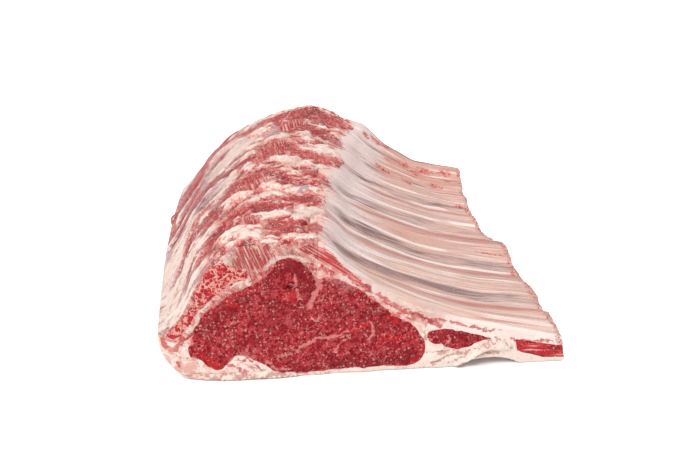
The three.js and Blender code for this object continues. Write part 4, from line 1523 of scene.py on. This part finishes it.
def strands_group(finish):
    """Streaks that run along a flow of (along, across): broad and fine ones."""
    tree, given, result = new_group(
        "strands",
        (("Flow", "vector"), ("Stretch", "vector")),
        (("Broad", "value"), ("Fine", "value")),
    )
    s = Shader(tree, finish)
    flow = s.stretch(given["Flow"], given["Stretch"])
    s.give(s.noise(flow, 1.0, 2.5, 0.6, 0.3), result["Broad"])
    s.give(s.noise(flow, 0.34, 3.0, 0.65, 0.2), result["Fine"])
    return tree


def flecks_group(finish):
    """Small bright flecks, each in a cell of its own."""
    tree, given, result = new_group(
        "flecks",
        (("Place", "vector"), ("Share", "value"), ("Reach", "value")),
        (("Mask", "value"),),
    )
    s = Shader(tree, finish)
    cells = s.cells(s.warped(given["Place"], 1 / 1.6, 1.0), 1.0)
    close = s.ramp(cells.outputs["Distance"], 0.0, given["Reach"], 1.0, 0.0)
    parts = s.node("ShaderNodeSeparateColor", {0: cells.outputs["Color"]})
    edge = s.maths("SUBTRACT", 1.0, given["Share"])
    chosen = s.ramp(parts.outputs[0], edge, s.plus(edge, 0.08))
    s.give(s.times(close, chosen), result["Mask"])
    return tree


def tissue_group(finish):
    """Raw, deep, white, cool and striated patches laid over a base colour."""
    tree, given, result = new_group(
        "tissue",
        (
            ("Base", "colour"), ("Place", "vector"), ("Chart", "vector"), ("Raw", "value"),
            ("Deep", "value"), ("Pale", "value"), ("Cool", "value"), ("Stria", "value"),
        ),
        (("Colour", "colour"), ("Height", "value")),
    )
    s = Shader(tree, finish)
    place = given["Place"]
    along = {"Vector": given["Chart"], "Angle": -math.radians(FIBRE_TURN)}
    turned = s.node("ShaderNodeVectorRotate", along, rotation_type="Z_AXIS").outputs[0]
    fibres, _ = s.strands(turned, 18, 1.25)
    mottle = s.noise(place, 2.0, 4.0, 0.7, 0.5)
    clumps = s.noise(place, 5.0, 4.0, 0.65, 0.5)

    def mask(name, tear, softness):
        return s.torn(given[name], place, tear, softness)

    fibre = s.ramp(fibres, 0.47, 0.57)
    stria = s.mix(fibre, "raw_red", "pink")
    stria = s.over(stria, "deep_red", fibres, 0.42, 0.34, 0.8)
    stria = s.over(stria, "cream", fibres, 0.60, 0.67, 0.8)
    raw = s.over("raw_red", "rose", clumps, 0.48, 0.62)
    raw = s.over(raw, "pink", mottle, 0.55, 0.63, 0.75)
    raw = s.over(raw, "deep_red", mottle, 0.44, 0.36, 0.7)
    colour = s.lay(given["Base"], raw, mask("Raw", 3.4, 0.14), 0.8)
    deep = s.over("deep_red", "raw_red", clumps, 0.46, 0.60)
    deep = s.over(deep, "pink", mottle, 0.57, 0.65, 0.7)
    colour = s.lay(colour, deep, mask("Deep", 3.4, 0.14), 0.8)
    colour = s.lay(colour, stria, mask("Stria", 2.2, 0.2), 0.9)
    cool = s.over("lilac", "cream", clumps, 0.50, 0.66)
    colour = s.lay(colour, cool, mask("Cool", 3.5, 0.2), 0.8)
    white = s.over("cream", "white", mottle, 0.42, 0.60)
    white = s.over(white, "pink", clumps, 0.44, 0.36, 0.6)
    colour = s.lay(colour, white, mask("Pale", 3.4, 0.1), 0.6)
    s.give(colour, result["Colour"])
    s.give(s.plus(s.times(fibre, s.times(given["Stria"], 0.5)), mottle), result["Height"])
    return tree


# ---------------------------------------------------------------- materials

class Surface(Shader):
    """A new material with one Principled shader."""

    def __init__(self, name, finish=None):
        self.material = bpy.data.materials.new(name)
        self.material.use_nodes = True
        self.material.node_tree.nodes.clear()
        super().__init__(self.material.node_tree, finish)
        self.shader = self.node("ShaderNodeBsdfPrincipled")
        self.node("ShaderNodeOutputMaterial", {"Surface": self.shader.outputs[0]})

    def finished(self, colour, roughness, height, depth, specular):
        """Sets colour, roughness and fine bumps; depth is in metres. Returns the material."""
        bump = self.node("ShaderNodeBump", {"Strength": 1.0, "Distance": depth, "Height": height})
        self.give(colour, self.shader.inputs["Base Color"])
        self.give(roughness, self.shader.inputs["Roughness"])
        self.give(bump.outputs[0], self.shader.inputs["Normal"])
        self.shader.inputs["Specular IOR Level"].default_value = specular
        return self.material


def lean_meat(finish):
    """Dark red muscle, finely marbled."""
    s = Surface("lean meat", finish)
    place = s.place()
    grain = s.noise(place, 1.8, 3.0, 0.62)
    clumps = s.noise(place, 3.6, 4.0, 0.65)
    zones = s.noise(place, 15.0, 2.0)
    colour = s.over("lean_dark", "lean", grain, 0.40, 0.54)
    colour = s.over(colour, "lean_light", clumps, 0.46, 0.58, 0.75)
    dark = s.ramp(s.plus(s.field("dark"), s.swing(clumps, 1.2)), 0.3, 1.0)
    colour = s.lay(colour, "lean_dark", dark, 0.5)
    colour = s.over(colour, "lean_dark", zones, 0.50, 0.40, 0.35)
    colour = s.lay(colour, "raw_bright", s.torn("smear", place, 4.0, 0.3), 0.6)
    colour = s.lay(colour, "mauve_pink", s.torn("gray", place, 5.0, 0.5), 0.3)
    bits = s.ramp(s.noise(place, 1.5, 2.0, 0.6), 0.59, 0.65)
    bits = s.times(bits, s.ramp(zones, 0.42, 0.56, 0.2, 1.0))
    spots = s.flecks(place, 0.42, 0.35, 0.42)
    curl = s.thread(s.noise(place, 6.5, 2.0, 0.5, 1.0), 0.5, 0.035)
    curl = s.times(curl, s.ramp(s.noise(place, 6.0, 3.0), 0.50, 0.57))
    marbling = s.maths("MAXIMUM", bits, s.times(curl, 0.8))
    colour = s.lay(colour, "marbling", marbling, 0.8)
    colour = s.lay(colour, "cream", spots, 0.75)
    colour = s.lay(colour, "marbling", s.torn("seam", place, 5.0, 0.3), 0.65)
    rim = s.plus(s.field("rim"), s.swing(clumps, 2.4))
    colour = s.over(colour, "marbling", rim, 0.75, 1.15, 0.55)
    roughness = s.ramp(grain, 0.35, 0.65, 0.3, 0.55)
    height = s.plus(s.times(grain, 1.2), s.times(marbling, 0.35))
    return s.finished(colour, roughness, height, 0.0011, 0.16)


def raw_strip(finish):
    """Bright, coarsely cut raw meat."""
    s = Surface("raw strip", finish)
    place = s.place()
    grain = s.noise(place, 2.2, 4.0, 0.65)
    flow = s.vector_field("chart")
    layers, _ = s.strands(flow, 26, 3.4)
    colour = s.over("lean", "raw_bright", grain, 0.40, 0.58)
    colour = s.over(colour, "lean_dark", layers, 0.47, 0.38, 0.7)
    colour = s.over(colour, "rose", layers, 0.52, 0.60, 0.5)
    colour = s.over(colour, "cream", layers, 0.59, 0.65, 0.8)
    colour = s.over(colour, "marbling", s.noise(place, 1.7, 3.0), 0.58, 0.68, 0.8)
    colour = s.lay(colour, "marbling", s.flecks(place, 0.5, 0.3, 0.4), 0.6)
    return s.finished(colour, s.ramp(grain, 0.3, 0.7, 0.32, 0.55), grain, 0.0012, 0.3)


def marrow_bone(finish):
    """Porous bone, its pores full of red marrow."""
    s = Surface("marrow bone", finish)
    place = s.place()
    blotch = s.noise(place, 4.2, 4.0, 0.65)
    fine = s.noise(place, 1.7, 3.0, 0.6)
    colour = s.over("lean", "raw_bright", fine, 0.42, 0.56)
    colour = s.over(colour, "lean_dark", fine, 0.44, 0.36, 0.7)
    warped = s.warped(place, 2.9, 3.0)
    web = s.cells(warped, 3.0, "DISTANCE_TO_EDGE").outputs["Distance"]
    web = s.plus(web, s.swing(blotch, -1.1))
    colour = s.over(colour, "marrow_pale", web, 0.14, 0.02)
    speck = s.flecks(place, 0.42, 0.35, 0.42)
    light = s.times(speck, s.ramp(blotch, 0.44, 0.56))
    colour = s.mix(light, colour, "cream")
    height = s.plus(fine, s.times(speck, 0.4))
    return s.finished(colour, s.ramp(blotch, 0.3, 0.7, 0.4, 0.6), height, 0.0012, 0.3)


def sawn_bone(finish):
    """White to cream bone and gristle with a torn pink rim."""
    s = Surface("sawn bone", finish)
    place = s.place()
    patchy = s.noise(place, 4.5, 5.0, 0.65, 0.6)
    fine = s.noise(place, 2.2, 4.0, 0.65)
    colour = s.over("cream", "white", patchy, 0.42, 0.58)
    colour = s.over(colour, "pink", fine, 0.46, 0.36, 0.5)
    torn = s.over("rose", "pink", fine, 0.44, 0.58)
    torn = s.over(torn, "raw_red", patchy, 0.46, 0.38, 0.8)
    colour = s.lay(colour, torn, s.torn("rim", place, 4.0, 0.12), 0.9)
    colour = s.lay(colour, "raw_red", s.flecks(place, 0.5, 0.2, 0.35), 0.4)
    height = s.plus(patchy, s.times(fine, 0.6))
    return s.finished(colour, s.ramp(patchy, 0.3, 0.7, 0.4, 0.6), height, 0.001, 0.35)


def membrane(finish):
    """Glossy cream to mauve skin, streaked along the ribs, with painted shade in the valleys between them,
    and their porous sawn ends.
    """
    s = Surface("rib membrane", finish)
    place = s.place()
    flow = s.vector_field("flow")
    broad, _ = s.strands(flow, 110, 6.5)
    thin, finest = s.strands(flow, 70, 2.0)
    cloudy = s.noise(place, 20.0, 3.0)
    colour = s.over("membrane", "skin", broad, 0.40, 0.60)
    colour = s.over(colour, "butter", cloudy, 0.45, 0.65, 0.5)

    def streaked(name, tear, low, high):
        field = s.field(name)
        near = s.maths("MULTIPLY", field, 5.0, clamp=True)
        change = s.plus(s.plus(broad, -0.5), s.swing(thin, 0.8))
        return s.ramp(s.plus(field, s.times(s.times(change, tear), near)), low, high)

    colour = s.lay(colour, "orange_pink", streaked("warm", 2.0, 0.1, 0.9), 0.8)
    colour = s.lay(colour, "cool_white", streaked("cool", 2.6, 0.1, 0.8), 0.8)
    colour = s.lay(colour, "tan_pink", streaked("blush", 2.6, 0.1, 0.75), 0.9)
    # Painted shade in the valleys between the ribs, over their own gray-mauve.
    colour = s.lay(colour, "mauve", streaked("gray", 3.2, 0.1, 0.8), 0.95)
    light = s.ramp(thin, 0.54, 0.62)
    colour = s.lay(colour, "skin", light, 0.55)
    dark = s.times(s.ramp(thin, 0.47, 0.37), s.ramp(s.field("cool"), 0.2, 1.2, 0.44, 0.1))
    colour = s.mix(dark, colour, "shade_pink")
    # Thin dark streaks of painted shade, only inside the shaded valleys between the ribs.
    crease = s.times(s.ramp(finest, 0.44, 0.36), s.field("gray"))
    colour = s.lay(colour, "crease", crease, 0.8)
    colour = s.lay(colour, "bright_skin", streaked("line", 2.2, 0.3, 0.8), 0.85)
    colour = s.lay(colour, "mauve", streaked("brown", 2.0, 0.3, 0.8), 0.7)
    blood = s.torn("blood", place, 3.5, 0.45)
    stain = s.over("raw_red", "orange_pink", s.noise(place, 3.0, 3.0), 0.44, 0.6)
    colour = s.lay(colour, stain, blood, 0.9)
    head = s.plus(s.field("head"), s.swing(s.noise(place, 5.0, 4.0, 0.65), 2.2))
    torn = s.over("pink", "cream", s.noise(place, 3.0, 4.0), 0.44, 0.56)
    colour = s.over(colour, torn, head, 0.55, 0.8, 0.8)
    pores = s.noise(place, 1.8, 3.0, 0.6)
    porous = s.over("orange_pink", "cream", pores, 0.42, 0.58)
    porous = s.over(porous, "raw_red", s.noise(place, 2.6, 3.0), 0.50, 0.60)
    sawn = s.torn("sawn", place, 3.5, 0.15)
    colour = s.lay(colour, porous, sawn, 0.85)
    colour, _ = s.tissue(colour, place)
    roughness = s.ramp(s.noise(place, 9.0, 2.0), 0.35, 0.65, 0.24, 0.5)
    height = s.plus(thin, s.times(s.noise(place, 1.6, 3.0), 0.4))
    height = s.plus(height, s.times(sawn, pores))
    return s.finished(colour, roughness, height, 0.0009, 0.5)


def torn_meat(finish):
    """The torn backbone strip and the streaked skin of the spine side, painted darker in the hollows of its
    relief as shade and lighter on the raised parts as light.
    """
    s = Surface("torn spine meat", finish)
    place = s.place()
    flow = s.vector_field("flow")
    wide, _ = s.strands(flow, 34, 11.0)
    streaks, _ = s.strands(flow, 17, 4.6)
    thin, _ = s.strands(flow, 12, 1.7)
    mottle = s.noise(place, 3.2, 5.0, 0.7, 0.8)
    patches = s.noise(place, 8.0, 4.0, 0.65, 0.8)
    # The colours below follow how far each place stands out: painted shade in the hollows and painted light
    # on the raised parts, over the tissue's own reds and whites.
    lift = s.plus(s.times(s.field("lift"), 1.15), s.swing(mottle, 2.6))
    lift = s.plus(lift, s.swing(thin, 1.4))
    lift = s.plus(lift, s.times(s.field("pale"), 0.7))
    lift = s.plus(lift, s.times(s.plus(s.field("raw"), s.field("deep")), -0.5))

    def layered(*steps):
        """Colours over the lift, each with the height at which it takes over: low places get painted shade
        and raised places painted light.
        """
        colour = steps[0]
        for at, name in zip(steps[1::2], steps[2::2]):
            colour = s.over(colour, name, lift, at - 0.12, at + 0.12)
        return colour

    torn = layered("crevice", -1.3, "deep_red", -0.75, "raw_red", -0.4, "rose", -0.16, "pink", 0.16,
                   "cream", 0.42, "white")
    torn = s.lay(torn, "white", s.thread(patches, 0.5, 0.016), 0.6)
    shreds = s.noise(s.stretch(flow, (1 / 8, 1 / 2.8, 1.0)), 1.0, 4.0, 0.62, 0.8)
    torn = s.mix(s.thread(shreds, 0.47, 0.02, 0.6), torn, "raw_red")
    torn = s.mix(s.thread(shreds, 0.56, 0.022, 0.7), torn, "white")
    side = layered("deep_red", -1.0, "mauve", -0.7, "mauve_pink", -0.35, "lilac", -0.1, "cream", 0.2,
                   "white")
    share = s.plus(s.times(wide, 0.5), s.times(streaks, 0.5))
    side = s.over(side, "rose", share, 0.45, 0.39, 0.6)
    side = s.over(side, "white", share, 0.55, 0.62, 0.8)
    base = s.mix(s.field("side"), torn, side)
    colour, relief = s.tissue(base, place, s.field("cool"))
    bits = s.ramp(s.noise(place, 1.5, 2.0), 0.61, 0.69)
    colour = s.lay(colour, "white", bits, 0.6)
    roughness = s.ramp(mottle, 0.3, 0.7, 0.3, 0.55)
    height = s.plus(relief, s.times(thin, 0.8))
    return s.finished(colour, roughness, s.plus(height, s.times(mottle, 0.8)), 0.0012, 0.4)


def cream_fat(finish):
    """White to cream fat with pink blushes, raw streaks, and fissures painted darker as the shade in them.
    """
    s = Surface("cream fat", finish)
    place = s.place()
    lumps = s.noise(place, 6.0, 4.0, 0.62, 0.4)
    fine = s.noise(place, 2.2, 4.0, 0.65)
    colour = s.over("fat", "white", lumps, 0.42, 0.58)
    near = s.maths("MULTIPLY", s.field("blush"), 4.0, clamp=True)
    change = s.plus(s.swing(lumps, 3.0), s.swing(fine, 2.0))
    blush = s.plus(s.field("blush"), s.times(change, near))
    colour = s.over(colour, "fat_pink", blush, 0.3, 0.9, 0.85)
    colour = s.over(colour, "fat_shade", fine, 0.42, 0.34, 0.35)
    colour = s.lay(colour, "pink", s.flecks(place, 0.4, 0.25, 0.45), 0.35)
    colour, _ = s.tissue(colour, place)
    # Painted shade in the fissures.
    crack = s.torn("crack", place, 2.0, 0.3)
    colour = s.lay(colour, "fat_shade", crack, 0.7)
    height = s.plus(lumps, s.times(fine, 0.7))
    return s.finished(colour, s.ramp(lumps, 0.3, 0.7, 0.4, 0.6), height, 0.0012, 0.35)


# ---------------------------------------------------------------- what a user may change

def colour_property(name, description, shade):
    return FloatVectorProperty(
        name=name, description=description, subtype="COLOR", size=3, min=0.0, max=1.0,
        default=tone(*shade),
    )


class RackSizes(bpy.types.PropertyGroup):
    """Sizes of the finish that don't change the rack's own size."""

    ridge_height: FloatProperty(
        name="Rib ridge", description="Height of a rib over the valley beside it",
        default=6.0 * MM, min=0.0, max=9 * MM, unit="LENGTH",
    )


class RackColours(bpy.types.PropertyGroup):
    """Colours of the meat, fat, bone and membrane."""

    lean: colour_property("Lean", "Middle red of the big muscle", (172, 32, 45))
    lean_dark: colour_property("Dark lean", "Darkest red of the big muscle", (124, 6, 22))
    lean_light: colour_property("Light lean", "Lightest red of the big muscle", (204, 72, 76))
    marbling: colour_property("Marbling", "Fat flecks in the lean meat", (240, 152, 146))
    raw_red: colour_property("Raw red", "Torn red meat", (192, 52, 54))
    raw_bright: colour_property("Bright red", "Freshly cut thin meat", (206, 34, 40))
    deep_red: colour_property("Deep red", "Darkest torn meat", (158, 48, 54))
    pink: colour_property("Pink", "Pink tissue between meat and fat", (232, 150, 140))
    # Painted shade in the hollows of the torn meat.
    crevice: colour_property("Crevice", "Darkest lines of torn meat", (112, 44, 46))
    rose: colour_property("Rose", "Rosier tissue of the strip", (218, 112, 106))
    cream: colour_property("Cream", "Cream gristle", (240, 200, 186))
    cool_white: colour_property("Cool white", "Membrane by the rib heads", (244, 222, 219))
    white: colour_property("White", "Whitest fascia and bone", (252, 232, 220))
    lilac: colour_property("Lilac", "Cool gristle", (184, 146, 152))
    # Mauve is a tone of the skin and membrane, and is also used as painted shade in the valleys between the
    # ribs.
    mauve: colour_property("Mauve", "Shaded membrane between ribs", (140, 106, 105))
    # Painted shade: the darkest thin streaks in the valleys between the ribs.
    crease: colour_property("Crease", "Thin dark lines between ribs", (104, 74, 76))
    shade_pink: colour_property("Shade pink", "Thin dark lines of the membrane", (178, 120, 110))
    tan_pink: colour_property("Tan pink", "Far flanks of the ribs", (194, 122, 110))
    mauve_pink: colour_property("Mauve pink", "Skin of the spine side", (204, 150, 146))
    membrane: colour_property("Membrane", "Middle of the membrane", (220, 180, 168))
    skin: colour_property("Skin", "Light streaks of the membrane", (244, 219, 208))
    bright_skin: colour_property("Bright skin", "Lines of fat along the ribs", (252, 234, 226))
    butter: colour_property("Butter", "Yellowish clouds of the membrane", (232, 192, 168))
    orange_pink: colour_property("Orange pink", "Far ribs and sawn ends", (222, 150, 132))
    marrow_pale: colour_property("Pale marrow", "Web of the split bone", (240, 166, 152))
    fat: colour_property("Fat", "Cream of the fat", (250, 232, 220))
    fat_pink: colour_property("Pink fat", "Blushed fat", (234, 168, 156))
    # Fat shade: a darker tone of the fat, also used as painted shade in its fissures.
    fat_shade: colour_property("Fat shade", "Fissures in the fat", (190, 130, 118))


class Finish:
    """The chosen colours, the node groups that materials share, and the materials made so far."""

    def __init__(self, chosen):
        self.colours = {name: tuple(getattr(chosen, name)) for name in RackColours.__annotations__}
        self.groups, self.materials = {}, {}
        for maker in (torn_edge_group, strands_group, flecks_group, tissue_group):
            tree = maker(self)
            self.groups[tree.name] = tree

    def material(self, maker):
        if maker not in self.materials:
            self.materials[maker] = maker(self)
        return self.materials[maker]


class RackPiece:
    """Shared by the operators: one finish for all the pieces."""

    bl_options = {"REGISTER", "UNDO"}
    finishes = []

    def material(self, context, maker):
        if not self.finishes:
            self.finishes.append(Finish(context.scene.rack_colours))
        return self.finishes[0].material(maker)


class RACK_OT_muscles(RackPiece, bpy.types.Operator):
    """Build the big marbled muscle and the small one of the thin end"""

    bl_idname = "rack.muscles"
    bl_label = "Muscles"

    def execute(self, context):
        lean = self.material(context, lean_meat)
        eye_muscle(lean)
        tail_muscle(lean)
        end_strip(self.material(context, raw_strip))
        return {"FINISHED"}


class RACK_OT_spine(RackPiece, bpy.types.Operator):
    """Build the torn meat along the spine"""

    bl_idname = "rack.spine"
    bl_label = "Spine meat"

    def execute(self, context):
        spine_meat(self.material(context, torn_meat))
        return {"FINISHED"}


class RACK_OT_bones(RackPiece, bpy.types.Operator):
    """Build the split spine bone and the sawn stubs"""

    bl_idname = "rack.bones"
    bl_label = "Spine bone and stubs"

    def execute(self, context):
        spine_bone(self.material(context, marrow_bone))
        bone = self.material(context, sawn_bone)
        for index in range(len(STUBS)):
            bone_stub(index, bone)
        return {"FINISHED"}


class RACK_OT_ribs(RackPiece, bpy.types.Operator):
    """Build the ribs and the membrane wall that holds them"""

    bl_idname = "rack.ribs"
    bl_label = "Ribs and wall"

    def execute(self, context):
        skin = self.material(context, membrane)
        height = context.scene.rack_sizes.ridge_height / MM
        for index in range(RIB_COUNT):
            rib_piece(index, skin, height)
        rib_wall(skin, height)
        return {"FINISHED"}


class RACK_OT_fat(RackPiece, bpy.types.Operator):
    """Build the fat cap that the rack lies on"""

    bl_idname = "rack.fat"
    bl_label = "Fat cap"

    def execute(self, context):
        fat_cap(self.material(context, cream_fat))
        return {"FINISHED"}


class RACK_OT_stage(bpy.types.Operator):
    """Build the plain floor, the soft lights and the camera"""

    bl_idname = "rack.stage"
    bl_label = "Stage"

    def execute(self, context):
        make_floor()
        make_lights()
        make_camera(context)
        return {"FINISHED"}


PIECES = (RACK_OT_muscles, RACK_OT_spine, RACK_OT_bones, RACK_OT_ribs, RACK_OT_fat, RACK_OT_stage)


class RACK_PT_panel(bpy.types.Panel):
    """Lists the pieces of the rib rack"""

    bl_label = "Rib rack"
    bl_idname = "RACK_PT_panel"
    bl_space_type = "VIEW_3D"
    bl_region_type = "UI"
    bl_category = "Rib rack"

    def draw(self, context):
        column = self.layout.column()
        for piece in PIECES:
            column.operator(piece.bl_idname)
        for group in (context.scene.rack_sizes, context.scene.rack_colours):
            for name in type(group).__annotations__:
                column.prop(group, name)


# ---------------------------------------------------------------- stage

CAMERA_PLACE = (-0.0677, -0.678, 0.3255)
CAMERA_PITCH = math.radians(22.6)
CAMERA_YAW = math.radians(5.66)
CAMERA_LENS = 45.56
FLOOR_SIZE = 60.0
STUDIO_LIGHT = 0.48
FLOOR_GLOW = 0.68


def make_floor():
    mesh = bpy.data.meshes.new("floor")
    half = FLOOR_SIZE / 2
    corners = [(-half, -half, 0), (half, -half, 0), (half, half, 0), (-half, half, 0)]
    mesh.from_pydata(corners, [], [(0, 1, 2, 3)])
    s = Surface("pale floor")
    shader = s.shader
    fine = s.noise(s.place(), 2.0, 2.0)
    colour = s.mix(fine, (0.93, 0.93, 0.93), (0.96, 0.96, 0.96))
    s.give(colour, shader.inputs["Base Color"])
    seen = s.node("ShaderNodeLightPath").outputs["Is Camera Ray"]
    hollow = s.node("ShaderNodeAmbientOcclusion", samples=8)
    hollow.inputs["Distance"].default_value = 0.035
    open_sky = s.ramp(hollow.outputs["AO"], 0.25, 0.85)
    s.give(s.times(s.times(seen, open_sky), FLOOR_GLOW), shader.inputs["Emission Strength"])
    shader.inputs["Emission Color"].default_value = (1.0, 1.0, 1.0, 1.0)
    shader.inputs["Roughness"].default_value = 0.9
    shader.inputs["Specular IOR Level"].default_value = 0.0
    mesh.materials.append(s.material)
    floor = bpy.data.objects.new("floor", mesh)
    floor.location.z = -0.0004
    bpy.context.scene.collection.objects.link(floor)


def area_light(name, place, aim, size, power):
    light = bpy.data.lights.new(name, "AREA")
    light.shape = "RECTANGLE"
    light.size, light.size_y = size
    light.energy = power
    lamp = bpy.data.objects.new(name, light)
    lamp.location = place
    lamp.rotation_euler = (Vector(aim) - Vector(place)).to_track_quat("-Z", "Y").to_euler()
    bpy.context.scene.collection.objects.link(lamp)


def make_lights():
    world = bpy.data.worlds.new("studio")
    world.use_nodes = True
    background = world.node_tree.nodes["Background"]
    background.inputs["Color"].default_value = (1.0, 1.0, 1.0, 1.0)
    s = Shader(world.node_tree)
    seen = s.node("ShaderNodeLightPath").outputs["Is Camera Ray"]
    s.give(s.ramp(seen, 0.0, 1.0, STUDIO_LIGHT, 1.0), background.inputs["Strength"])
    bpy.context.scene.world = world
    area_light("key", (-1.2, -1.2, 1.9), (0, 0, 0.04), (1.1, 1.0), 42.0)
    area_light("fill", (1.2, 0.5, 2.0), (0, 0, 0.04), (1.2, 1.2), 15.0)


def make_camera(context):
    camera = bpy.data.objects.new("camera", bpy.data.cameras.new("camera"))
    forward = Vector((
        math.sin(CAMERA_YAW) * math.cos(CAMERA_PITCH),
        math.cos(CAMERA_YAW) * math.cos(CAMERA_PITCH),
        -math.sin(CAMERA_PITCH),
    ))
    camera.location = CAMERA_PLACE
    camera.rotation_euler = forward.to_track_quat("-Z", "Y").to_euler()
    camera.data.lens = CAMERA_LENS
    camera.data.sensor_width = 36.0
    camera.data.sensor_fit = "HORIZONTAL"
    camera.data.clip_start = 0.01
    context.scene.collection.objects.link(camera)
    context.scene.camera = camera
    context.scene.view_settings.view_transform = "Standard"
    context.scene.view_settings.look = "None"


# ---------------------------------------------------------------- running it

CLASSES = (RackSizes, RackColours, *PIECES, RACK_PT_panel)


def register():
    for kind in CLASSES:
        bpy.utils.register_class(kind)
    bpy.types.Scene.rack_sizes = PointerProperty(type=RackSizes)
    bpy.types.Scene.rack_colours = PointerProperty(type=RackColours)


def unregister():
    del bpy.types.Scene.rack_colours
    del bpy.types.Scene.rack_sizes
    for kind in reversed(CLASSES):
        bpy.utils.unregister_class(kind)


def main():
    register()
    for piece in PIECES:
        group, name = piece.bl_idname.split(".")
        getattr(getattr(bpy.ops, group), name)()


if __name__ == "__main__":
    main()
